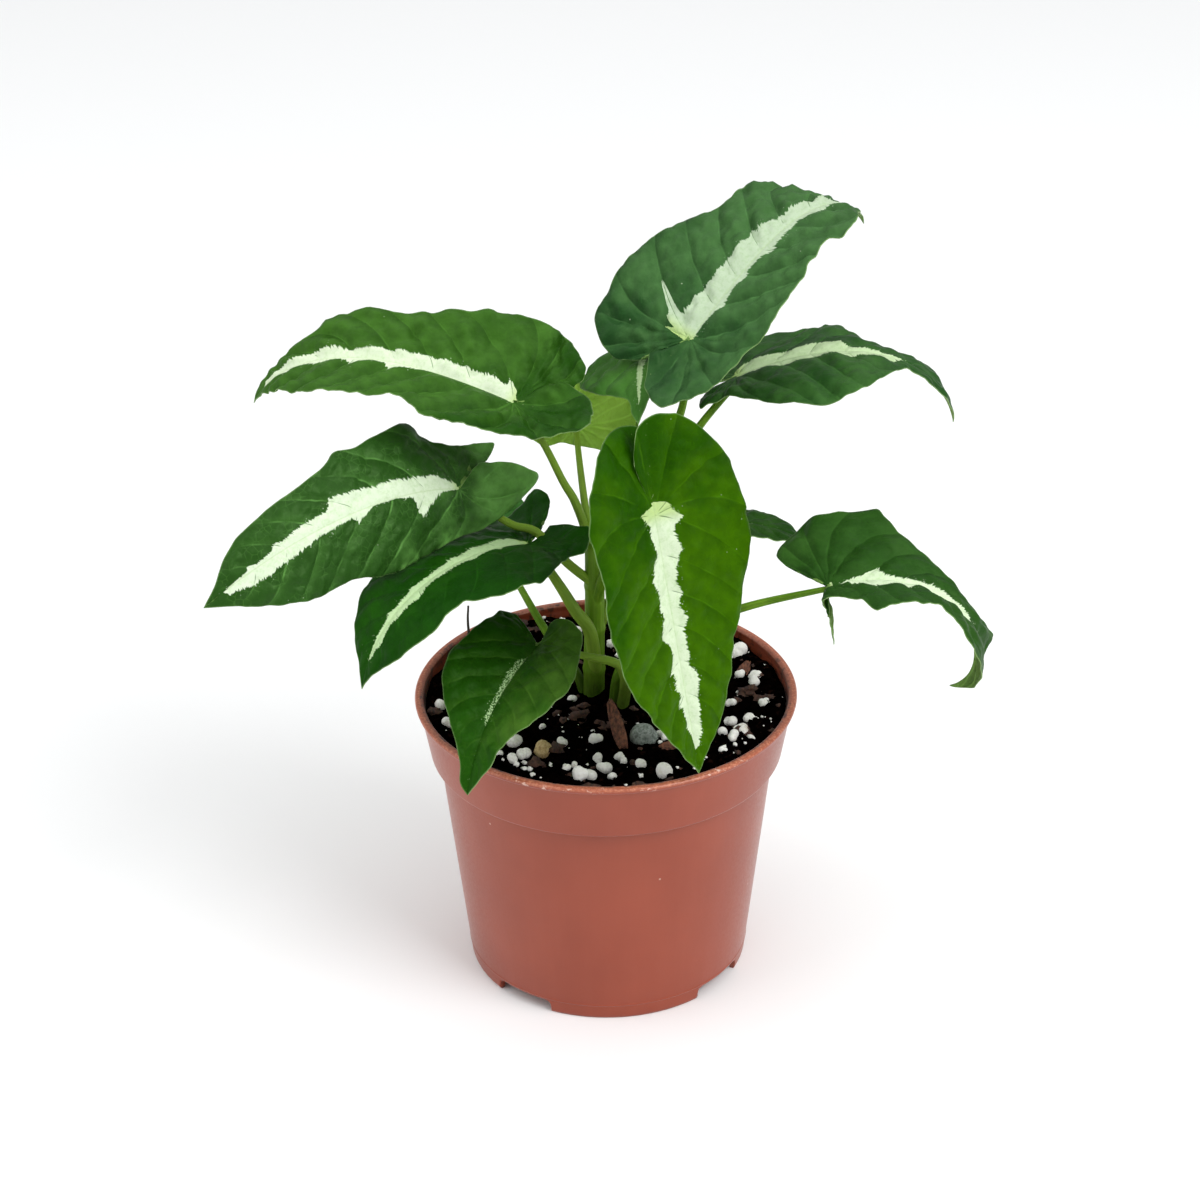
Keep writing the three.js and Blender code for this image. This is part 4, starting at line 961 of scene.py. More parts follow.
class LeafFinish(Finish):
    """A finish with a blade's own measures at hand, in mm. `plane` is the place in the flat, on a layer of
    its own for each leaf, so that no two leaves share their clouds."""

    def __init__(self, name, number):
        super().__init__(name)
        self.s, self.t, self.width = self.values("flat")
        self.vein, self.edge, self.gap = self.values("rib")
        self.away = self.math("ABSOLUTE", self.t)
        part = self.math("ABSOLUTE", self.minus(self.vein, self.math("ROUND", self.vein)))
        self.to_vein = self.times(part, self.gap)
        self.plane = self.point(self.s, self.t, number * 20.0)

    def net(self, size):
        """Distance to the threads of a net of small veins, as a share of its meshes."""
        return self.cells(self.plane, size, "DISTANCE_TO_EDGE")[0]

    def lit_through(self, glow, colour, bump):
        """Light that falls on one side and leaves on the other: a share `glow` of the skin is translucent."""
        through = self.node("ShaderNodeBsdfTranslucent", None, Normal=bump, Color=colour)
        both = self.node("ShaderNodeMixShader")
        for socket, value in zip(both.inputs, (glow, self.shader.outputs[0], through.outputs[0])):
            self.put(socket, value)
        self.put(self.surface, both.outputs[0])
        return self.material


print("leaf finishes can read the blade")

# %% [markdown]
# ## Leaf finishes: the marking
# The stripe is a band where the leaf has air under its skin. Its edge is torn into teeth that lean towards
# the tip, it runs out along side veins, and a halo of dots surrounds it. A plain noise would make blots,
# so noise is laid along the midrib, which gives long and short teeth that differ on either side.

# %% The marking
TOOTH_LEAN, LONG_TOOTH, SHORT_TOOTH = -0.55, 4.2, 0.75
RUN_WIDTH, DOT_SIZE, HALO_WIDTH = 1.2, 0.8, 2.2


def torn_stripe(m, number, solid, grain):
    """1 inside the marking: the stripe's reach plus teeth and runs, less the distance from the midrib, then
    grain that breaks up a weak stripe, then the dots of the halo."""
    lean = m.math("MULTIPLY_ADD", m.away, TOOTH_LEAN, m.s)
    along = m.point(lean, m.times(m.math("SIGN", m.t), 9.0), number * 30.0)
    tall = m.minus(m.noise(along, LONG_TOOTH, 1.0), 0.5)
    short = m.minus(m.noise(along, SHORT_TOOTH, 2.0, 0.7), 0.5)
    teeth = m.plus(m.times(tall, 1.4), m.times(short, 4.0))
    teeth = m.times(teeth, m.steps(m.width, 0.0, 2.5, 0.25, 1.0))
    spur = m.node("ShaderNodeAttribute", {"attribute_name": "spur"}).outputs["Fac"]
    near = m.math("POWER", m.math("DIVIDE", m.to_vein, RUN_WIDTH), 2.0)
    run = m.times(spur, m.math("EXPONENT", m.times(near, -1.0)))
    inside = m.minus(m.plus(m.plus(m.width, teeth), run), m.away)
    marking = m.steps(inside, -0.1, 0.16)
    if solid < 1:
        marking = m.times(marking, m.steps(grain, 0.62 - 0.45 * solid, 0.70 - 0.45 * solid))
    dot, _ = m.cells(m.plane, DOT_SIZE)
    halo = m.times(m.steps(inside, -HALO_WIDTH, -0.2), m.steps(dot, 0.26, 0.12))
    halo = m.times(halo, m.steps(m.noise(m.plane, 2.6), 0.52, 0.6))
    return m.math("MAXIMUM", marking, m.times(halo, 0.85))


print("teeth of the marking:", LONG_TOOTH, "and", SHORT_TOOTH, "mm apart")

# %% [markdown]
# ## Leaf finishes: greens and the stripe's colour
# The ground is deep green in clouds, with painted shade on one side of each side vein and painted light on
# the other, a net of small veins and a few white specks. The stripe is nearly white, yellow-green at the
# stalk and in the midrib line, and crossed by dark hairlines where side veins run.

# %% Colours of the upper skin
CLOUD_SIZE, PATCH_SIZE, NET_SIZE = 15.0, 5.0, 2.1
STRIPE_GREEN, MIDRIB_GREEN, HAIR_GREEN = (0.50, 0.70, 0.16), (0.46, 0.62, 0.28), (0.05, 0.14, 0.03)
SPECK_WHITE = (0.5, 0.6, 0.4)


def ground_green(m, deep, fresh, shift, pillow):
    """Clouds from deep to fresh green, fresher by `shift` for each mm along and away from the midrib, which
    is partly the leaf's own tone and partly painted light on the blade's brighter side, with darker patches.
    The higher the pillows between side veins, the more painted shade darkens one side of each and painted
    light brightens the other. Returns the colour and the clouds."""
    # The lean is partly the leaf's own tone and partly painted light on the side of the blade that the light
    # makes brighter.
    lean = m.plus(m.times(m.s, shift[0]), m.times(m.t, shift[1]))
    clouds = m.steps(m.plus(m.noise(m.plane, CLOUD_SIZE, 3.0), lean), 0.34, 0.7)
    green = m.blend(clouds, deep, fresh)
    patch = m.steps(m.noise(m.plane, PATCH_SIZE, 3.0, 0.6), 0.3, 0.7)
    green = m.blend(m.times(patch, 0.4), green, toned(deep, 0.62))
    fraction = m.minus(m.vein, m.math("FLOOR", m.vein))
    wide = m.times(m.steps(m.gap, 3.0, 7.0), m.steps(m.noise(m.plane, 9.0, 1.0), 0.3, 0.6, 0.35, 1.0))
    wide = m.times(m.times(wide, min(pillow, 1.2)), m.steps(m.away, 1.0, 5.0))
    # Painted shade on one side of each side vein and painted light on the other, stronger where the pillows
    # stand high.
    green = m.blend(m.times(wide, m.steps(fraction, 0.5, 1.0, 0.0, 0.34)), green, toned(deep, 0.55))
    return m.blend(m.times(wide, m.steps(fraction, 0.45, 0.0, 0.0, 0.26)), green, toned(fresh, 1.35)), clouds


def veined(m, green, fresh, net):
    """The ground with threads of the net, pale lines on the side veins and white specks."""
    thread = m.times(m.steps(net, 0.06, 0.0), m.steps(m.noise(m.plane, 6.0), 0.45, 0.6))
    green = m.blend(m.times(thread, 0.10), green, toned(fresh, 1.6))
    line = m.times(m.steps(m.to_vein, 0.45, 0.1), m.steps(m.edge, 0.5, 8.0))
    line = m.times(line, m.steps(m.noise(m.plane, 8.0, 1.0), 0.4, 0.65, 0.0, 0.24))
    green = m.blend(line, green, tuple(2.0 * c + 0.008 for c in fresh))
    white = m.specks(m.plane, 4.5, (0.055, 0.035), 0.8)
    return m.blend(m.times(white, 0.6), green, SPECK_WHITE)


def stripe_colour(m, stripe):
    """The stripe's own colour, washed with green in places, greener at the stalk and in the midrib, and
    cut by hairlines along the side veins."""
    pale = m.blend(m.steps(m.s, 4.0, -1.0, 0.0, 0.7), stripe, STRIPE_GREEN)
    washed = m.steps(m.noise(m.plane, 1.3, 3.0, 0.7), 0.42, 0.7, 0.0, 0.4)
    pale = m.blend(washed, pale, toned(stripe, (0.62, 0.76, 0.5)))
    pale = m.blend(m.times(m.steps(m.away, 0.4, 0.14), 0.3), pale, MIDRIB_GREEN)
    hair = m.times(m.steps(m.to_vein, 0.17, 0.07), m.steps(m.away, 0.9, 2.0))
    hair = m.times(hair, m.steps(m.noise(m.plane, 5.0, 1.0), 0.42, 0.56, 0.0, 0.75))
    return m.blend(hair, pale, HAIR_GREEN)


print("greens in clouds of", CLOUD_SIZE, "mm and patches of", PATCH_SIZE, "mm")

# %% [markdown]
# ## Leaf finishes: the three layers
# A blade has an upper skin with a soft satin gloss, a paler and duller underside whose veins stand out,
# and a thin pale edge. Light that comes through makes both skins brighter and yellower, which a plain
# colour can't do, so a share of each is translucent.

# %% The upper skin
# The margin's green is partly the blade's own paler edge and partly a painted highlight.
MARGIN_HIGHLIGHT_GREEN, THROUGH_GREEN = (0.24, 0.40, 0.14), (0.14, 0.42, 0.0)
UPPER_RELIEF = 0.12
GLOSS_TINT = (0.5, 0.88, 0.35)


def upper_finish(name, number, deep, fresh, shift, gloss, glow, stripe, solid, pillow):
    """The upper skin of one leaf: ground with painted shade and light, veins, marking and a pale margin that
    is partly a painted highlight, over a finely veined relief.
    """
    m = LeafFinish(name + "_upper", number)
    grain, net = m.noise(m.plane, 0.55, 2.0, 0.7), m.net(NET_SIZE)
    marking = torn_stripe(m, number, solid, grain)
    green, clouds = ground_green(m, deep, fresh, shift, pillow)
    colour = m.blend(marking, veined(m, green, fresh, net), stripe_colour(m, stripe))
    # A pale line along the margin: partly the blade's own paler edge, partly a painted highlight.
    rim = m.steps(m.plus(m.edge, m.times(m.minus(grain, 0.5), 0.3)), 0.42, 0.12)
    colour = m.blend(m.times(rim, 0.38), colour, MARGIN_HIGHLIGHT_GREEN)
    relief = m.plus(m.times(m.noise(m.plane, 0.35, 2.0), 0.3), m.times(m.steps(net, 0.0, 0.25), 0.3))
    bump = m.bump(m.plus(relief, m.times(m.steps(m.to_vein, 0.0, 0.8), 0.8)), UPPER_RELIEF)
    rough = m.plus(m.steps(clouds, 0.0, 1.0, 0.42, 0.5), m.times(marking, 0.08))
    m.give(Base_Color=colour, Roughness=rough, Normal=bump, Specular_Tint=GLOSS_TINT,
           Specular_IOR_Level=gloss)
    return m.lit_through(glow, m.blend(0.4, colour, THROUGH_GREEN), bump)


print("upper skin ready, relief", UPPER_RELIEF, "mm")

# %% The underside and the edge
LOWER_RELIEF = 0.3
EDGE_GREEN = (0.16, 0.27, 0.08)


def lower_finish(name, number, colour, glow):
    """The underside: pale matt green in clouds, a dark net, and paler veins that stand out."""
    m = LeafFinish(name + "_lower", number)
    clouds, net = m.steps(m.noise(m.plane, 12.0, 2.0), 0.35, 0.7), m.net(1.9)
    green = m.blend(clouds, toned(colour, 0.82), toned(colour, 1.15))
    green = m.blend(m.steps(net, 0.1, 0.0, 0.0, 0.3), green, toned(colour, 0.6))
    line = m.math("MAXIMUM", m.steps(m.to_vein, 0.5, 0.15), m.steps(m.away, 0.95, 0.5))
    green = m.blend(m.times(line, 0.55), green, toned(colour, 1.7))
    relief = m.plus(m.steps(m.to_vein, 0.9, 0.1), m.times(m.steps(net, 0.2, 0.0), 0.35))
    bump = m.bump(relief, LOWER_RELIEF)
    m.give(Base_Color=green, Normal=bump, Roughness=0.55, Specular_IOR_Level=0.2)
    return m.lit_through(glow, tuple(min(2.2 * c, 0.95) for c in colour), bump)


def rim_finish(name):
    """The cut-thin edge of the blade, paler than the upper skin."""
    m = Finish(name + "_edge")
    shade = m.noise(m.place(), 2.0)
    return m.give(Base_Color=m.blend(shade, EDGE_GREEN, toned(EDGE_GREEN, 1.5)), Roughness=0.5)


print("underside ready, relief", LOWER_RELIEF, "mm")

# %% [markdown]
# ## Making the leaves
# No two leaves of a plant have the same colour: young ones are bright, old ones dark. One finish for all
# would look like plastic, so each has a row of its own, found by matching it to the photograph.
# Some rows also hold painted light: the middle left leaf carries a painted reflection of the sky, and the
# pale leaf at the back is painted paler for the light that comes through it.

# %% The colour table and the leaves
# Greens of the upper skin, deep and fresh; how much fresher it gets for each mm along and away from the
# midrib, partly the leaf's own tone and partly painted light on the side that the light makes brighter; its
# gloss; the light let through; the stripe's colour; the underside's colour
TONES = {
    "leaf_upper_left": ((0.013, 0.070, 0.002), (0.054, 0.158, 0.018), (0.008, 0.004), 0.18, 0.18,
                        (0.82, 0.93, 0.70), (0.13, 0.24, 0.05)),
    # The middle left leaf's fresh green is raised into painted light and a painted reflection of the sky,
    # most of all on its lobe.
    "leaf_mid_left": ((0.022, 0.082, 0.010), (0.170, 0.420, 0.090), (-0.011, -0.008), 0.30, 0.16,
                      (0.80, 0.92, 0.70), (0.13, 0.24, 0.05)),
    "leaf_low_left": ((0.006, 0.052, 0.002), (0.012, 0.078, 0.003), (0.0, 0.0), 0.10, 0.12,
                      (0.56, 0.76, 0.42), (0.11, 0.20, 0.04)),
    "leaf_small_front": ((0.015, 0.080, 0.003), (0.070, 0.170, 0.018), (-0.004, -0.016), 0.13, 0.16,
                         (0.50, 0.72, 0.36), (0.13, 0.24, 0.05)),
    "leaf_front": ((0.018, 0.088, 0.000), (0.052, 0.158, 0.000), (0.006, -0.004), 0.08, 0.24,
                   (0.80, 0.92, 0.68), (0.16, 0.30, 0.05)),
    "leaf_top": ((0.016, 0.068, 0.016), (0.056, 0.152, 0.042), (0.006, 0.003), 0.24, 0.14,
                 (0.52, 0.64, 0.46), (0.13, 0.24, 0.06)),
    "leaf_right": ((0.017, 0.072, 0.013), (0.046, 0.138, 0.027), (0.0, 0.0), 0.20, 0.12,
                   (0.62, 0.78, 0.48), (0.16, 0.28, 0.06)),
    "leaf_low_right": ((0.016, 0.068, 0.007), (0.036, 0.112, 0.016), (0.0, 0.0), 0.18, 0.16,
                       (0.74, 0.88, 0.62), (0.13, 0.24, 0.05)),
    "leaf_centre_back": ((0.042, 0.155, 0.017), (0.076, 0.220, 0.034), (0.0, 0.0), 0.20, 0.16,
                         (0.50, 0.68, 0.36), (0.13, 0.24, 0.05)),
    # The pale leaf at the back is painted paler still, to stand in for the light that shines through it from
    # behind.
    "leaf_pale_back": ((0.290, 0.450, 0.120), (0.400, 0.580, 0.170), (0.0, 0.0), 0.10, 0.62,
                       (0.60, 0.80, 0.40), (0.36, 0.52, 0.13)),
    "leaf_hidden_left": ((0.036, 0.145, 0.022), (0.074, 0.230, 0.048), (0.0, 0.0), 0.16, 0.16,
                         (0.56, 0.76, 0.42), (0.13, 0.24, 0.05)),
    "leaf_behind_front": ((0.013, 0.060, 0.006), (0.028, 0.096, 0.010), (0.0, 0.0), 0.16, 0.16,
                          (0.50, 0.70, 0.36), (0.13, 0.24, 0.05)),
}

for number, (name, (deep, fresh, shift, gloss, glow, stripe, under)) in enumerate(TONES.items()):
    points, faces, layer, attributes = blade(name)
    solid, pillow = STRIPES[name]["solid"], RELIEFS.get(name, PLAIN_RELIEF)[2]
    finishes = [upper_finish(name, number, deep, fresh, shift, gloss, glow, stripe, solid, pillow),
                lower_finish(name, number, under, glow), rim_finish(name)]
    make_piece("blade_" + name[5:], points, faces, finishes, (name,),
               attributes, layer)
print("leaves:", len(TONES), "with", len(faces), "triangles each")

# %% [markdown]
# ## Stem and leaf stalks
# Leaf stalks spring from one stem, thick and sheathed at the foot and thin under the blade. Each is a
# round profile carried along its smooth path. A bevelled curve would do, but here every point also keeps
# its place along and round the stalk for the finish. A stalk ends inside the rib under its blade.

# %% Stalk paths
# For each leaf: the stalk's path, its radius at the foot and under the blade, and how far beside the
# midrib it ends
STALKS = {
    "leaf_upper_left": (
        [(-3.3, 3, 136), (-5.2, 4.2, 146.3), (-8.8, 2, 159), (-12.4, 0.5, 166.8), (-18.8, -1, 181.6)],
        1.5, 0.85, 0),
    "leaf_pale_back": (
        [(-3.2, 3.5, 136), (-3.8, 4, 146), (-5.6, 6.5, 154), (-7, 18, 160.2), (-8, 31, 164)], 1.3, 0.8, 0),
    "leaf_mid_left": (
        [(-3, 3, 130), (-11.3, 1, 138.5), (-20.6, 1.4, 149), (-27.7, 2.6, 151), (-35, 5, 154.6)],
        1.5, 0.9, 0),
    "leaf_low_left": (
        [(-3, 4, 98), (-4.8, 0, 114.9), (-9.3, -2.5, 124), (-13.8, -4, 133.3), (-19, -5.4, 142.6)],
        2.2, 0.9, 0),
    "leaf_hidden_left": (
        [(-6, 6, 82), (-8.5, 8, 94), (-15, 14, 101), (-20, 19, 107), (-27, 28, 116)], 1.6, 0.9, 0),
    "leaf_small_front": (
        [(4, -1, 82), (6, -4, 96), (5.8, -8, 104), (3, -12, 110.5), (-6.5, -17, 116)], 2, 0.8, 0),
    "leaf_top": (
        [(-3, 3, 136), (0, 3, 144), (11, 4, 162), (19.5, 5, 178), (24, 5.5, 190)], 1.6, 1, 0),
    "leaf_right": (
        [(-2.6, 4, 130), (0.4, 4.5, 139), (11, 6.5, 154.5), (21, 12, 166.5), (31, 18.5, 178.5)],
        1.6, 1, 0),
    "leaf_low_right": (
        [(2.5, 1, 82), (4.5, -3, 102), (13.7, -10, 117), (27, -19, 127.8), (45, -27.4, 139)], 2, 0.85, 1),
    "leaf_front": ([(-2.8, 3, 124), (0, -3, 137), (5, -13, 150), (10, -26, 162)], 1.7, 1, 0),
    "leaf_centre_back": (
        [(-2.9, 4.5, 130), (1, 16, 143), (5, 36, 150), (10, 53.5, 160), (12.5, 54, 180)], 1.5, 0.8, 0),
    "leaf_behind_front": ([(-2.6, 4, 110), (2, 7, 124), (9, 13, 132)], 1.4, 0.8, 0),
}
STEM_PATH = [(-3.8, 5.5, 78), (-3.6, 5, 100), (-3.2, 4, 122), (-3.2, 3, 144)]
print("stalks:", len(STALKS))

# %% Tubes
STALK_SIDES, STALK_STEPS = 20, 60


def ring_sides(way, along):
    """Two unit directions square to the path at each point, the first nearest to one horizontal direction,
    so that the rings don't turn about the path."""
    chord = way[-1] - way[0]
    across = np.cross(chord, (0, 0, 1.0))
    across = np.array((1.0, 0, 0)) if np.linalg.norm(across) < 0.15 * np.linalg.norm(chord) else across
    across = across - along * (along @ across)[:, None]
    across /= np.linalg.norm(across, axis=1, keepdims=True)
    return across, np.cross(along, across)


def tube(path, radii, sides=STALK_SIDES, steps=STALK_STEPS):
    """A round tube with closed ends along a smooth path, its radius running evenly through the values
    given. A point's values are its share of the way, its angle and the tube's length."""
    way = smooth_path(path, steps)
    along = np.gradient(way, axis=0)
    along /= np.linalg.norm(along, axis=1, keepdims=True)
    across, other = ring_sides(way, along)
    x = np.linspace(0, 1, steps)[:, None, None]
    a = np.linspace(0, 2 * np.pi, sides, endpoint=False)[None, :, None]
    radius = np.interp(x, np.linspace(0, 1, len(radii)), radii)
    ring = way[:, None] + radius * (np.cos(a) * across[:, None] + np.sin(a) * other[:, None])
    foot, tip = (np.repeat(way[None, end:end + 1], sides, 1) for end in (0, steps - 1))
    points = np.concatenate([foot, ring, tip]).reshape(-1, 3)
    kept, triangles, _ = welded(points, grid_triangles(steps + 2, sides, closed=True))
    u = np.concatenate([[0], np.linspace(0, 1, steps), [1]])
    length = np.linalg.norm(np.diff(way, axis=0), axis=1).sum()
    values = [np.repeat(u, sides), np.tile(a.ravel(), steps + 2), np.full(u.size * sides, length)]
    return points[kept], triangles, np.stack(values, 1)[kept]


print("a stalk is", STALK_STEPS, "rings of", STALK_SIDES, "points")

# %% [markdown]
# ## Stem and leaf stalks: their finish
# A stalk is olive green with fine streaks that follow its bends, which a pattern in the room would cut
# across. They are noise on the circle that the angle makes, drawn out along the length. Near the mix the
# stalks are dusty and darker.

# %% Stalk finish
OLIVE, FRESH_OLIVE, STREAK_GREEN = (0.075, 0.180, 0.006), (0.120, 0.255, 0.010), (0.22, 0.38, 0.04)
SHORT_GREEN, DUST, FOOT_GREEN = (0.26, 0.40, 0.05), (0.07, 0.08, 0.02), (0.022, 0.045, 0.004)


def stalk_finish():
    """Living stalk: olive clouds, fine lengthwise streaks, a dusty dark foot. Stalks shorter than 65 mm
    are paler than the stem and the long ones."""
    m = Finish("stalk_green")
    u, angle, length = m.values("tube")
    circle = [m.times(m.math(wave, angle), 2.0) for wave in ("COSINE", "SINE")]
    streaks = m.noise(m.point(*circle, m.times(m.times(u, length), 0.06)), 0.6, 3.0, 0.6)
    green = m.blend(m.steps(m.noise(m.place(), 9.0, 2.0), 0.35, 0.7), OLIVE, FRESH_OLIVE)
    green = m.blend(m.steps(streaks, 0.35, 0.75, 0.0, 0.5), green, STREAK_GREEN)
    green = m.blend(m.times(m.steps(length, 66.5, 65.0), 0.55), green, SHORT_GREEN)
    dusty = m.times(m.steps(m.noise(m.place(), 2.2, 3.0, 0.6), 0.5, 0.7), 0.35)
    height = m.parts(m.place())[2]
    green = m.blend(m.times(dusty, m.steps(height, 108.0, 92.0)), green, DUST)
    green = m.blend(m.steps(height, 106.0, 90.0, 0.0, 0.7), green, FOOT_GREEN)
    return m.give(Base_Color=green, Roughness=m.steps(streaks, 0.3, 0.7, 0.36, 0.5),
                  Normal=m.bump(streaks, 0.3), Subsurface_Weight=0.15,
                  Subsurface_Radius=(0.0015, 0.0025, 0.0008), Specular_IOR_Level=0.12)


stalk_green = stalk_finish()
print("stalk finish ready")

# %% Stem, stalks and crown
STALK_TAPER = 1.6
STEM_FOOT, STEM_NARROWING, STEM_STEPS = 3.5, 0.6, 90
STEM_JOINTS, JOINT_SWELLING = (0.32, 0.55, 0.78), 0.35
CROWN_PATH = [(0.5, 2.5, 74.2), (0.5, 2.5, 78), (0.5, 2.5, 82), (0.5, 2.5, 86.3)]
CROWN_SHAPE, CROWN_RADII = (0, 0.7, 0.95, 1), (8.2, 11, 11, 9)


def stalk_end(name, radius, aside):
    """Where a stalk meets its blade: under the midrib's start, or that far aside."""
    leaf = LEAVES[name]
    point, side, normal = rib_frame(leaf, leaf["right"], np.array([0.0]))
    return (point - normal * (BLADE_THICKNESS / 2 + radius * 0.75) - side * aside)[0]


def stem_profile(steps):
    """Radius of the stem, narrowing evenly from its foot and a little swollen at its joints."""
    x = np.linspace(0, 1, steps)
    return STEM_FOOT - STEM_NARROWING * x + sum(JOINT_SWELLING * bell(x - at, 0.02) for at in STEM_JOINTS)


parts = [tube(STEM_PATH, stem_profile(STEM_STEPS), steps=STEM_STEPS)]
for name, (path, foot, tip, aside) in STALKS.items():
    radii = foot + (tip - foot) * np.linspace(0, 1, STALK_STEPS) ** STALK_TAPER
    parts.append(tube([*path, tuple(stalk_end(name, tip, aside))], radii))
parts.append(tube(CROWN_PATH, np.interp(np.linspace(0, 1, 24), CROWN_SHAPE, CROWN_RADII), 40, 24))
points, faces, values = joined(parts)
make_piece("stem_and_leaf_stalks", points, faces, [stalk_green], ("stem_and_stalks",),
           {"tube": values})
print("stem and stalks:", len(faces), "triangles")

# %% [markdown]
# ## The pot: its cut face
# A thin moulded shell with a collar, a raised floor and a foot ring with four notches. It could be built
# of cylinders, but a profile turned about the axis gives all walls at once. Its corners are rounded first,
# because no moulding has sharp ones, and a sharp edge would catch no light.

# %% Pot profile
RIM_RADIUS, POT_HEIGHT = 60.0, 94.4
BASE_RADIUS, FOOT_RING, WALL = 44.5, 1.6, 1.2
FLOOR_UNDERSIDE, FLOOR_TOP = 4.8, 6.2
COLLAR_RADIUS, COLLAR_HEIGHT, WALL_TOP = 55.6, 75.0, 52.9
CORNER_RADIUS, LONGEST_SIDE = 0.5, 3.5


def rounded(profile, radius, steps=5):
    """Replaces each inner corner of a profile by a curve that starts `radius` before it, or two fifths of
    the shorter side, and ends as far behind it: a parabola with the corner as its control point."""
    p = np.asarray(profile, float)
    before, corner, after = p[:-2], p[1:-1], p[2:]
    back, front = before - corner, after - corner
    lb, lf = (np.linalg.norm(v, axis=1, keepdims=True) for v in (back, front))
    cut = np.minimum(radius, np.minimum(lb, lf) / 2.5)
    start, stop = corner + back / lb * cut, corner + front / lf * cut
    f = np.linspace(0, 1, steps)[None, :, None]
    arc = (1 - f) ** 2 * start[:, None] + 2 * f * (1 - f) * corner[:, None] + f**2 * stop[:, None]
    return np.vstack([p[:1], arc.reshape(-1, 2), p[-1:]])


def divided(profile, longest):
    """The same profile with extra points so that no side is longer than `longest`."""
    p = np.asarray(profile, float)
    length = np.concatenate([[0], np.cumsum(np.linalg.norm(np.diff(p, axis=0), axis=1))])
    extra = np.arange(0, length[-1], longest)
    at = np.unique(np.round(np.concatenate([length, extra]), 6))
    return np.column_stack([np.interp(at, length, p[:, k]) for k in (0, 1)])


def pot_profile():
    """The pot's cut face as (radius, height), from the axis under the floor round to the axis above."""
    rim, top, base, collar = RIM_RADIUS, POT_HEIGHT, BASE_RADIUS, COLLAR_HEIGHT
    neck = rim - 1.4
    return [(0, FLOOR_UNDERSIDE), (base - FOOT_RING - 0.3, FLOOR_UNDERSIDE), (base - FOOT_RING, 0),
            (base - 0.2, 0), (base + 0.2, 1), (base + 0.5, 4.8), (base + 0.8, 5.1), (base + 0.7, 5.7),
            (WALL_TOP, collar - 0.8), (COLLAR_RADIUS - 0.3, collar), (COLLAR_RADIUS, collar + 0.5),
            (neck, top - 2.2), (rim - 0.2, top - 1.6), (rim, top - 0.6), (rim - 0.5, top), (rim - 2.2, top),
            (rim - 2.8, top - 0.6), (neck - WALL, top - 2.4), (COLLAR_RADIUS - WALL, collar + 1.6),
            (WALL_TOP - WALL, collar - 0.4), (base + 0.5 - WALL, FLOOR_TOP + 1.5),
            (base - 1 - WALL, FLOOR_TOP), (0, FLOOR_TOP)]


cut_face = divided(rounded(pot_profile(), CORNER_RADIUS), LONGEST_SIDE)
print("the cut face has", len(cut_face), "points")

# %% [markdown]
# ## The pot: shell, notches and drain holes
# Four shallow arches in the foot ring let water run off, and five holes in the floor drain the mix. The
# notches lift the ring's lowest points to the arch, with columns of points set at its ends and corners.
# Round holes would not fit such a grid, so cylinders cut them.

# %% Pot shell
NOTCHES = np.radians([-127.5, -37.5, 52.5, 142.5])
NOTCH_HALF, NOTCH_HEIGHT, NOTCH_CORNER = 45.5 * math.sin(math.radians(13)), 4.4, 3.0
POT_COLUMNS = 180


def notch_height(angle):
    """Height of the notch's arch over an angle: flat on top, a rounded corner, then nothing."""
    turn = (angle[:, None] - NOTCHES[None] + np.pi) % (2 * np.pi) - np.pi
    x = np.abs(BASE_RADIUS * np.sin(np.clip(turn, -1.5, 1.5))).min(1)
    f = np.clip((NOTCH_HALF - x) / NOTCH_CORNER, 0, 1)
    arch = NOTCH_HEIGHT - NOTCH_CORNER * (1 - np.sqrt(f)) ** 2
    return np.where(x < NOTCH_HALF, arch, 0)


def column_angles():
    """Even angles round the pot, and closer ones at both ends of each notch: just outside and just inside
    its end, then over its rounded corner."""
    end = NOTCH_HALF * np.array([1.0004, 0.9996])
    x = np.concatenate([end, NOTCH_HALF - NOTCH_CORNER * np.linspace(0.04, 1, 9) ** 2])
    near = np.arcsin(np.concatenate([x, -x]) / BASE_RADIUS)
    even = np.linspace(-np.pi, np.pi, POT_COLUMNS, endpoint=False)
    angle = np.concatenate([even, (NOTCHES[:, None] + near[None]).ravel()])
    return np.unique((angle + np.pi) % (2 * np.pi) - np.pi)


def pot_shell(profile):
    """The profile turned about the axis. Where a notch is, the foot ring's low points rise to its arch."""
    angle = column_angles()
    r, z = profile[:, :1], profile[:, 1:]
    foot = (r > BASE_RADIUS - 2.2) & (r < BASE_RADIUS + 0.6) & (z < FLOOR_UNDERSIDE - 0.05)
    height = np.where(foot, np.maximum(z, notch_height(angle)[None]), z)
    radius = r + np.zeros_like(height)
    points = np.stack([radius * np.cos(angle), radius * np.sin(angle), height], -1)
    return points.reshape(-1, 3), grid_triangles(len(profile), len(angle), closed=True)


points, triangles = pot_shell(cut_face)
kept, triangles, _ = welded(points, triangles)
print("shell:", len(triangles), "triangles")

# %% Drain holes
DRAIN_CIRCLE, DRAIN_RADIUS = 33.0, 3.5
DRILL_SIDES, DRILL_LENGTH, DRILL_HEIGHT = 40, 8, 5.5


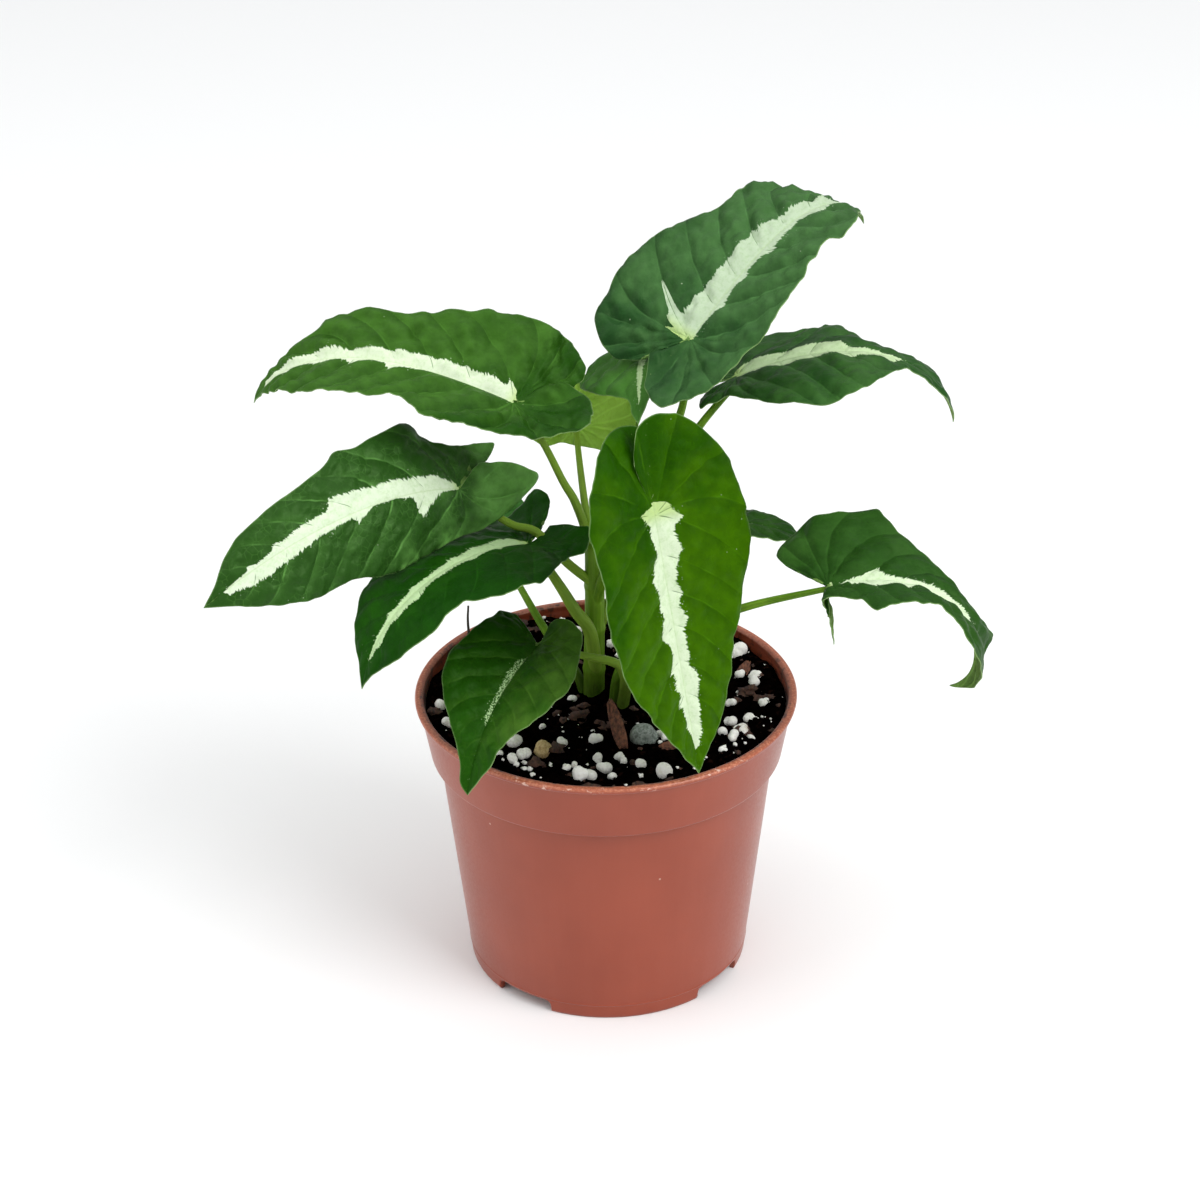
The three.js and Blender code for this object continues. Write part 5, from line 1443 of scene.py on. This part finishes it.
def drain(piece):
    """Cuts the round drain holes with a Boolean modifier and applies it. Then doubles are merged and
    collapsed triangles dissolved, so the shell stays closed."""
    places = [(0.0, 0.0)] + [(DRAIN_CIRCLE * math.cos(a), DRAIN_CIRCLE * math.sin(a)) for a in NOTCHES]
    for x, y in places:
        bpy.ops.mesh.primitive_cylinder_add(
            vertices=DRILL_SIDES, radius=DRAIN_RADIUS * MM, depth=DRILL_LENGTH * MM,
            location=(x * MM, y * MM, DRILL_HEIGHT * MM))
        cutter = bpy.context.object
        cut = piece.modifiers.new("drain", "BOOLEAN")
        cut.object, cut.operation, cut.solver = cutter, "DIFFERENCE", "EXACT"
        whole = piece.evaluated_get(bpy.context.evaluated_depsgraph_get())
        mesh = bpy.data.meshes.new_from_object(whole)
        piece.modifiers.clear()
        piece.data = mesh
        bpy.data.objects.remove(cutter)
    work = bmesh.new()
    work.from_mesh(mesh)
    bmesh.ops.remove_doubles(work, verts=work.verts, dist=1e-6)
    bmesh.ops.triangulate(work, faces=work.faces)
    bmesh.ops.dissolve_degenerate(work, edges=work.edges, dist=1e-6)
    work.to_mesh(mesh)
    work.free()
    mesh.shade_smooth()


print("drain holes of", 2 * DRAIN_RADIUS, "mm")

# %% [markdown]
# ## The pot: its finish
# Terracotta-coloured plastic: flow streaks run up the wall, a painted highlight lightens the top of the lip,
# the front of the lip is scuffed where it is handled, painted shade darkens the inner wall, mix has stained
# the inside, and dust specks cling on. All are noises of the pot's own place, kept to their zones by height
# and radius. A trace of sheen gives the waxy bloom of such pots.

# %% Pot finish
CLAY, LIGHT_CLAY, FLOW_CLAY = (0.272, 0.042, 0.014), (0.306, 0.051, 0.019), (0.40, 0.085, 0.040)
# The top of the lip is painted lighter as a highlight and the inner wall painted darker as shade; stain,
# scuffs and dust are the pot's own.
LIP_HIGHLIGHT_CLAY, SCUFF, POT_DUST = (0.66, 0.26, 0.15), (0.80, 0.58, 0.48), (0.75, 0.52, 0.42)
SHADED_INSIDE_CLAY, STAIN = (0.20, 0.045, 0.020), (0.02, 0.010, 0.007)


def pot_inside(m, x, y, z):
    """1 on the collar's inner wall: the radius less a slope with height is small, above the mix's foot."""
    radius = m.math("SQRT", m.plus(m.times(x, x), m.times(y, y)))
    inside = m.steps(m.math("MULTIPLY_ADD", z, -0.18, radius), 41.6, 41.2)
    return m.times(inside, m.steps(z, COLLAR_HEIGHT + 1.2, COLLAR_HEIGHT + 2.0))


def pot_finish():
    """Terracotta-coloured plastic: clouds, upright flow streaks, a painted highlight on the top of the lip,
    painted shade and stains inside, scuffs at the front of the lip, and dust."""
    m = Finish("terracotta_plastic")
    where = m.place()
    x, y, z = m.parts(where)
    streaks = m.noise(m.place((1, 1, 0.05)), 5.0, 3.0, 0.6)
    grit = m.noise(where, 0.9, 3.0, 0.65)
    base = m.blend(m.steps(m.noise(where, 30.0, 3.0), 0.3, 0.7), CLAY, LIGHT_CLAY)
    base = m.blend(m.steps(streaks, 0.4, 0.75, 0.0, 0.1), base, FLOW_CLAY)
    # Painted highlight along the top of the lip, broken up by grit.
    lip_highlight = m.times(m.steps(grit, 0.4, 0.75, 0.25, 1.0), m.steps(z, 93.2, 94.0))
    base = m.blend(m.times(lip_highlight, 0.9), base, LIP_HIGHLIGHT_CLAY)
    inside = pot_inside(m, x, y, z)
    soiled = m.steps(m.noise(m.place((1, 1, 0.6)), 2.6, 4.0, 0.65), 0.5, 0.62)
    # Painted shade darkens the inner wall; the stain that follows is the mix's own.
    base = m.blend(m.times(inside, 0.5), base, SHADED_INSIDE_CLAY)
    base = m.blend(m.times(inside, m.times(soiled, 0.75)), base, STAIN)
    front = m.times(m.steps(z, 91.8, 93.4), m.steps(y, -30.0, -52.0))
    scuffs = m.times(m.steps(m.noise(m.place((0.5, 1, 1)), 1.6, 3.0, 0.7), 0.60, 0.68), front)
    base = m.blend(m.times(scuffs, 0.75), base, SCUFF)
    base = m.blend(m.times(m.specks(where, 9.0, (0.045, 0.03), 0.7), 0.5), base, POT_DUST)
    rough = m.plus(m.steps(grit, 0.3, 0.7, 0.30, 0.40), m.times(scuffs, 0.2))
    relief = m.plus(m.times(streaks, 0.4), m.times(grit, 0.2))
    return m.give(Base_Color=base, Roughness=rough, Normal=m.bump(relief, 0.04), Specular_IOR_Level=0.5,
                  Sheen_Weight=0.24, Sheen_Roughness=0.28)


pot = make_piece("nursery_pot", points[kept], triangles[:, ::-1], [pot_finish()], ("pot",))
drain(pot)
print("pot:", len(pot.data.polygons), "faces")

# %% [markdown]
# ## Potting mix: the bed
# Dark peat and fine bark, heaped a little round the stems and against the wall. A field of heights gives
# the bed its lumps and finer noise its crumbs. A displaced disc would look the same, but a field also
# tells the height under each loose grain that is laid on it.

# %% Bed of mix
SOIL_LEVEL, SOIL_RADIUS = 89.3, 56.5
CROWN = (0.5, 2.5)
BED_TURNS, BED_RINGS = 260, 100
PLUG_SIDE = [(54.2, 77.5), (51.2, 75.2), (43.3, 8.0), (42.0, 6.6), (0.0, 6.6)]


def soil_height(x, y):
    """The solid's height field: one slow and two quicker waves on the level of the mix."""
    swell = 0.8 * np.sin(0.11 * x + 1) * np.cos(0.09 * y)
    lumps = 0.5 * np.sin(0.31 * x - 0.23 * y + 2) + 0.3 * np.sin(0.47 * y + 0.2 * x)
    return SOIL_LEVEL + swell + lumps


def crumbly(x, y):
    """The height field with crumbs of three sizes, a mound round the stems and a bank at the wall."""
    flat = np.stack([x, y], -1)
    rough = 0.55 * ripple(flat, 4.5, 3) + 0.4 * np.abs(ripple(flat, 2.0, 4)) + 0.25 * ripple(flat, 1.0, 5, 14)
    mound = 0.8 * np.exp(-(((x - CROWN[0]) ** 2 + (y - CROWN[1]) ** 2) / 120))
    bank = 1.2 * np.clip((np.hypot(x, y) - 45) / 8, 0, 1)
    return soil_height(x, y) + rough + mound + bank


def soil_bed():
    """The lumpy top on fine rings, and the plug's plain side and bottom below it."""
    ring = np.linspace(0, 1, BED_RINGS)[:, None] ** 0.75 * SOIL_RADIUS
    angle = np.linspace(0, 2 * np.pi, BED_TURNS, endpoint=False)[None]
    x, y = ring * np.cos(angle), ring * np.sin(angle)
    top = np.stack([x, y, crumbly(x, y)], -1)
    top[0] = top[0].mean(0)
    r, z = (column[:, None] for column in np.transpose(PLUG_SIDE))
    low = np.stack([r * np.cos(angle), r * np.sin(angle), z + 0 * angle], -1)
    points = np.concatenate([top, low]).reshape(-1, 3)
    kept, triangles, _ = welded(points, grid_triangles(BED_RINGS + len(PLUG_SIDE), BED_TURNS, closed=True))
    return points[kept], triangles


points, faces = soil_bed()
print("bed of mix:", len(faces), "triangles, up to", round(points[:, 2].max(), 1), "mm high")

# %% [markdown]
# ## Potting mix: loose lumps
# Hundreds of small lumps lie on the bed. Each is a ball of few faces, stretched, dented and turned by
# seeded draws, so one call gives crumbs of peat, perlite dust or flakes of bark. Scattered copies of one
# lump would all be alike.

# %% Scattered lumps
SMALL_COMMON = 2.5


def ball(steps=1):
    """Directions on a sphere and their triangles: an icosahedron whose faces are split in four."""
    mesh = bpy.data.meshes.new("ball")
    work = bmesh.new()
    bmesh.ops.create_icosphere(work, subdivisions=steps, radius=1)
    work.to_mesh(mesh)
    work.free()
    points = np.empty(len(mesh.vertices) * 3)
    mesh.vertices.foreach_get("co", points)
    triangles = np.empty(len(mesh.polygons) * 3, np.int32)
    mesh.polygons.foreach_get("vertices", triangles)
    bpy.data.meshes.remove(mesh)
    return points.reshape(-1, 3), triangles.reshape(-1, 3)


def free_places(draw, count, keep_out=9.0, far=55.5):
    """Even draws over the bed's disc that keep clear of the stems: the root of an even draw is a radius."""
    r = far * np.sqrt(draw.uniform(0, 1, count * 2))
    a = draw.uniform(0, 2 * np.pi, count * 2)
    x, y = r * np.cos(a), r * np.sin(a)
    free = np.hypot(x - CROWN[0], y - CROWN[1]) > keep_out
    return x[free][:count], y[free][:count]


def scattered(count, seed, smallest, largest, squash, steps=1, hollow=0.25, sink=0.2):
    """Many small lumps in one mesh, set on the mix and clear of the wall. A power of the draw makes small
    sizes common. The dents, `hollow` deep, are a product of three sines of the direction."""
    draw = np.random.default_rng(seed)
    shape, triangles = ball(steps)
    x, y = free_places(draw, count)
    n = len(x)
    size = smallest + (largest - smallest) * draw.uniform(0, 1, n) ** SMALL_COMMON
    stretch = draw.uniform(0.6, 1.3, (n, 3)) * (size / 2)[:, None] * np.array([1, 1, squash])
    turn = draw.uniform(0, 2 * np.pi, n)
    key = draw.uniform(0, 100, (n, 1, 3))
    dents = 1 + hollow * np.sin(3.1 * shape[None] + key).prod(-1, keepdims=True) * 2
    p = shape[None] * dents * stretch[:, None]
    c, s = np.cos(turn)[:, None], np.sin(turn)[:, None]
    p = np.stack([p[..., 0] * c - p[..., 1] * s, p[..., 0] * s + p[..., 1] * c, p[..., 2]], -1)
    inside = np.minimum(1, (SOIL_RADIUS - size / 2 - 0.3) / np.maximum(np.hypot(x, y), 1e-6))
    x, y = x * inside, y * inside
    base = np.stack([x, y, crumbly(x, y) + sink * size * squash], -1)
    faces = (triangles[None] + (np.arange(n) * len(shape))[:, None, None]).reshape(-1, 3)
    return (p + base[:, None]).reshape(-1, 3), faces


print("a small lump has", len(ball()[1]), "faces")

# %% [markdown]
# ## Potting mix: its finish
# Wet peat is nearly black and scatters what little light it sends back. Brown crumbs and pale fibres
# break it up, and a deep fine relief lets each crumb shade its neighbour.

# %% Mix finish and pieces
PEAT, DARK_PEAT = (0.0024, 0.0011, 0.0009), (0.0004, 0.0003, 0.0003)
BROWN, FIBRE = (0.016, 0.006, 0.004), (0.05, 0.022, 0.014)


def mix_finish():
    """Moist peat: near black in clouds, with brown crumbs and pale fibres here and there."""
    m = Finish("potting_mix")
    where = m.place()
    clouds, grain = m.noise(where, 3.5, 4.0, 0.6), m.noise(where, 0.7, 3.0, 0.6)
    colour = m.blend(m.steps(clouds, 0.35, 0.7), DARK_PEAT, PEAT)
    colour = m.blend(m.steps(m.noise(where, 2.4, 3.0), 0.6, 0.7, 0.0, 0.6), colour, BROWN)
    fibre = m.steps(m.noise(m.place((1, 0.3, 1)), 0.9, 2.0, 0.6), 0.72, 0.78, 0.0, 0.6)
    relief = m.plus(m.times(grain, 0.7), m.times(clouds, 0.8))
    return m.give(Base_Color=m.blend(fibre, colour, FIBRE), Roughness=m.steps(grain, 0.4, 0.7, 0.4, 0.85),
                  Normal=m.bump(relief, 0.9), Specular_IOR_Level=0.0)


peat = mix_finish()
make_piece("mix_bed", points, faces[:, ::-1], [peat], ("soil",))
points, faces = scattered(1500, 11, 0.7, 3.4, 0.6)
make_piece("mix_crumbs", points, faces, [peat])
print("crumbs:", len(faces), "triangles")

# %% [markdown]
# ## White grains
# Perlite is expanded glass: light lumps like popcorn, several bubbles grown together, with pits where a
# bubble broke open. A lump is the outside of a few overlapping balls, seen from its middle: along every
# direction the farthest point of any ball. Metaballs would merge too, but with many more faces.

# %% Popcorn shape
BLEND_SHARPNESS = 12
PIT_DEPTH, SKIN_GRAIN = 0.35, 0.035


def popcorn(size, seed, steps=4, bubbles=5):
    """Directions times the farthest reach of any bubble along them, softly blended by the logarithm of a
    sum of exponentials, with pits and a grainy skin, scaled to `size` across."""
    draw = np.random.default_rng(seed)
    way, triangles = ball(steps)
    centre = draw.normal(size=(bubbles, 3)) * np.array([1, 1, 0.5])
    centre *= draw.uniform(0.25, 0.55, (bubbles, 1)) / np.linalg.norm(centre, axis=1, keepdims=True)
    radius = draw.uniform(0.45, 0.7, bubbles)
    middle = way @ centre.T
    inner = radius**2 - (centre**2).sum(1) + middle**2
    reach = middle + np.sqrt(np.maximum(inner, 0.02))
    reach = np.log(np.exp(reach * BLEND_SHARPNESS).sum(1)) / BLEND_SHARPNESS
    reach = reach * (1 + SKIN_GRAIN * ripple(way, 0.5, seed + 1, 16))
    reach = reach - PIT_DEPTH * np.clip(ripple(way, 0.45, seed + 2, 12) - 0.75, 0, 1)
    p = way * reach[:, None]
    return p * (size / (p.max(0) - p.min(0))[:2].max()), triangles


def set_on_mix(p, x, y, lift):
    """Moves a lump's points so that it lies on the mix at x, y, its middle `lift` above it."""
    return p + np.array([x, y, float(soil_height(np.float64(x), np.float64(y))) + lift])


print("a lump of perlite has", len(ball(4)[1]), "triangles")

# %% Grain finish
CHALK, DULL_CHALK, CHALK_STAIN = (0.98, 0.975, 0.94), (0.93, 0.91, 0.85), (0.50, 0.42, 0.28)


def grain_finish(name, light, dark, stain):
    """Porous mineral: chalky, with darker pits and a little stain from the mix."""
    m = Finish(name)
    where = m.place()
    skin = m.noise(where, 0.8, 4.0, 0.65)
    pits, _ = m.cells(where, 0.7)
    colour = m.blend(m.steps(skin, 0.35, 0.6), dark, light)
    colour = m.blend(m.steps(pits, 0.13, 0.05, 0.0, 0.45), colour, stain)
    colour = m.blend(m.steps(m.noise(where, 2.6, 2.0), 0.6, 0.74, 0.0, 0.45), colour, stain)
    relief = m.plus(skin, m.steps(pits, 0.0, 0.3))
    return m.give(Base_Color=colour, Roughness=0.85, Normal=m.bump(relief, 0.25), Subsurface_Weight=0.1,
                  Subsurface_Radius=(0.001, 0.001, 0.001))


perlite = grain_finish("perlite", CHALK, DULL_CHALK, CHALK_STAIN)
print("perlite finish ready")

# %% [markdown]
# ## White grains: where they lie
# The larger lumps are nodes of the solid model, one piece each. Smaller ones lie between them, their places
# read off the photograph, and fine crumbs are scattered.

# %% Perlite
# Places of the lumps on the mix and their sizes: (x, y, size)
PERLITE = [(-5, -42.5, 4.4), (-0.6, -38.5, 5), (4.1, -31.5, 4), (-28.2, -25, 5.6), (-25.5, -34, 4.6),
           (-3, -23, 4.6), (10.1, -37.5, 4), (43.4, 28.4, 6.2), (47.6, 14, 4.6), (50, -1.8, 4.4),
           (41.3, -20, 5.4), (44.8, -10.9, 4.4), (-44, 8, 5), (-34, 27, 4.6), (-10, 44, 5), (22, 43, 4.8)]
SMALL_LUMPS = [(-12.1, -41.6, 3.2), (-9.6, -39, 2.4), (-7.7, -45.4, 5.2), (-28.6, -38.1, 4.6),
               (-13.5, -25.8, 3.4), (-10.4, 2, 3.2), (-51, -4.1, 4.4), (-49, -15.2, 4.6), (2, 37, 3.2),
               (16, -43.3, 5.4), (17.6, -22.5, 3.8), (39.1, -2.8, 3.8), (38.9, -13.6, 4.2),
               (35.7, -19.9, 3.2), (35.5, -32.9, 2.8), (38.5, -26, 4.2), (43.3, 15.4, 3.6),
               (46.5, 8.6, 4.2), (1.2, -44.6, 3.0), (5.6, -35.4, 2.6), (-2.8, -35.2, 3.0),
               (-33, -33, 3.0), (27, -36, 2.4), (-20, -16, 2.2)]

for i, (x, y, size) in enumerate(PERLITE):
    p, faces = popcorn(size, 40 + i, bubbles=4 + i % 3)
    make_piece(f"grain_{i + 1:02d}", set_on_mix(p, x, y, 0.2 * size), faces, [perlite],
               (f"perlite_{i + 1:02d}",))
lumps = []
for i, (x, y, size) in enumerate(SMALL_LUMPS):
    p, faces = popcorn(size, 140 + i, steps=3, bubbles=3 + i % 3)
    lumps.append((set_on_mix(p, x, y, 0.3 * size + 0.5), faces, np.zeros((len(p), 1))))
points, faces, _ = joined(lumps)
make_piece("small_perlite", points, faces, [perlite])
points, faces = scattered(240, 23, 0.4, 2.4, 0.8, steps=2, hollow=0.3, sink=0.3)
make_piece("perlite_crumbs", points, faces, [perlite])
print("perlite:", len(PERLITE), "lumps and", len(SMALL_LUMPS), "small ones")

# %% Tan stone and grey lump
# Piece, material, slot and node; size, seed and bubbles; place and lift; light, dark and stain
MINERALS = (
    (("tan_grain", "tan_mineral", "tan_stone", "stone_tan"), (6.6, 91, 4), (-19, -30.6, 1.3),
     ((0.62, 0.47, 0.24), (0.40, 0.26, 0.10), (0.16, 0.09, 0.04))),
    (("grey_crumb", "grey_mineral", "grey_lump", "lump_grey"), (9, 92, 7), (12.5, -21, 1.8),
     ((0.30, 0.34, 0.31), (0.12, 0.15, 0.13), (0.03, 0.03, 0.025))),
)
for (piece, material, slot, node), (size, seed, bubbles), place, colours in MINERALS:
    p, faces = popcorn(size, seed, bubbles=bubbles)
    make_piece(piece, set_on_mix(p, *place), faces, [grain_finish(material, *colours)], (node,))
print("other grains:", len(MINERALS))

# %% [markdown]
# ## Bark chips
# Chips of bark are split along the grain: flat, ragged at the ends, with ridges lengthwise. Each is a ball
# pushed towards a box by taking a root of each coordinate, then ridged. A cube with a Bevel would be more
# regular than anything torn from a tree. Flakes of darker, wetter bark lie scattered over the mix.

# %% Bark
# Places of the chips on the mix, their length and width, compass direction and tilt
BARK = [(3.2, -20.5, 17, 5, 108, 37), (21, -27, 10, 5, 20, 6), (44.5, 20, 9, 5, 70, 8),
        (33, 31, 11, 5, 120, 6), (-40, -12, 10, 4.5, 60, 6)]
BOXINESS = 0.45
WET_BARK, BARK_BROWN = (0.002, 0.001, 0.001), (0.055, 0.020, 0.012)
BARK_RED, BARK_TAN = (0.21, 0.075, 0.038), (0.30, 0.13, 0.07)


def chip(x, y, length, width, compass, tilt, seed):
    """A rounded box: each coordinate of a unit direction to a power below 1, scaled to the chip, ridged
    across its width, pointed at the upper end, tilted, turned and laid on the mix."""
    way, triangles = ball(4)
    p = np.sign(way) * np.abs(way) ** BOXINESS
    p /= np.abs(p).max(0)
    taper = 0.82 - 0.16 * p[:, :1] - 0.28 * p[:, :1] ** 2
    ridges = 0.10 * np.sin(9 * p[:, 1:2] + 3 * p[:, :1] + seed) + 0.12 * ripple(p, 0.6, seed)[:, None]
    p = p * np.array([length / 2, width / 2, 1.0]) * np.hstack([1 + ridges * 0.4, taper, 1 + ridges * 2])
    a, c = math.radians(tilt), math.radians(compass)
    lean = Matrix.Rotation(c, 3, "Z") @ Matrix.Rotation(-a, 3, "Y")
    lift = max(0.5 * length * math.sin(a) - 1, 0.4)
    return set_on_mix(p @ np.array(lean).T, x, y, lift), triangles


def bark_finish(name, light):
    """Red-brown bark: dark and light fibres, torn matt surface. Wetter bark has less `light`."""
    m = Finish(name)
    fibres = m.noise(m.place((1, 0.25, 1)), 0.8, 4.0, 0.7)
    colour = m.blend(m.steps(fibres, 0.35, 0.65), BARK_BROWN, BARK_RED)
    colour = m.blend(m.steps(m.noise(m.place(), 4.0, 2.0), 0.55, 0.7, 0.0, 0.5), colour, BARK_TAN)
    return m.give(Base_Color=m.blend(light, WET_BARK, colour), Roughness=0.8, Normal=m.bump(fibres, 0.5))


bark = bark_finish("bark", 1.0)
for i, placing in enumerate(BARK):
    points, faces = chip(*placing, seed=60 + i)
    make_piece(f"bark_chip_{i + 1}", points, faces, [bark], (f"bark_{i + 1:02d}",))
points, faces = scattered(130, 31, 1.4, 6.5, 0.3, steps=2, hollow=0.45, sink=0.5)
make_piece("bark_flakes", points, faces, [bark_finish("damp_bark", 0.4)])
print("bark chips:", len(BARK))

# %% [markdown]
# ## The dry stalk
# Behind the rim at the left stands the dead stalk of an old leaf, thin, dark and bent. It is one more tube,
# with a streaky brown skin.

# %% Dry stalk
DRY_STALK = [(-43.6, 31.5, 84), (-43.8, 33, 91), (-44.4, 36, 99), (-44.2, 38, 104)]
DRY_RADII = (0.55, 0.33)
DRY_DARK, DRY_BROWN = (0.012, 0.008, 0.006), (0.05, 0.03, 0.02)

withered = Finish("withered_brown")
grain = withered.noise(withered.place((1, 1, 0.2)), 0.5, 3.0)
withered.give(Base_Color=withered.blend(grain, DRY_DARK, DRY_BROWN), Roughness=0.7,
              Normal=withered.bump(grain, 0.2))
points, faces, _ = tube(DRY_STALK, DRY_RADII, 12, 40)
make_piece("withered_stalk", points, faces, [withered.material], ("dry_stalk",))
print("dry stalk:", len(faces), "triangles")
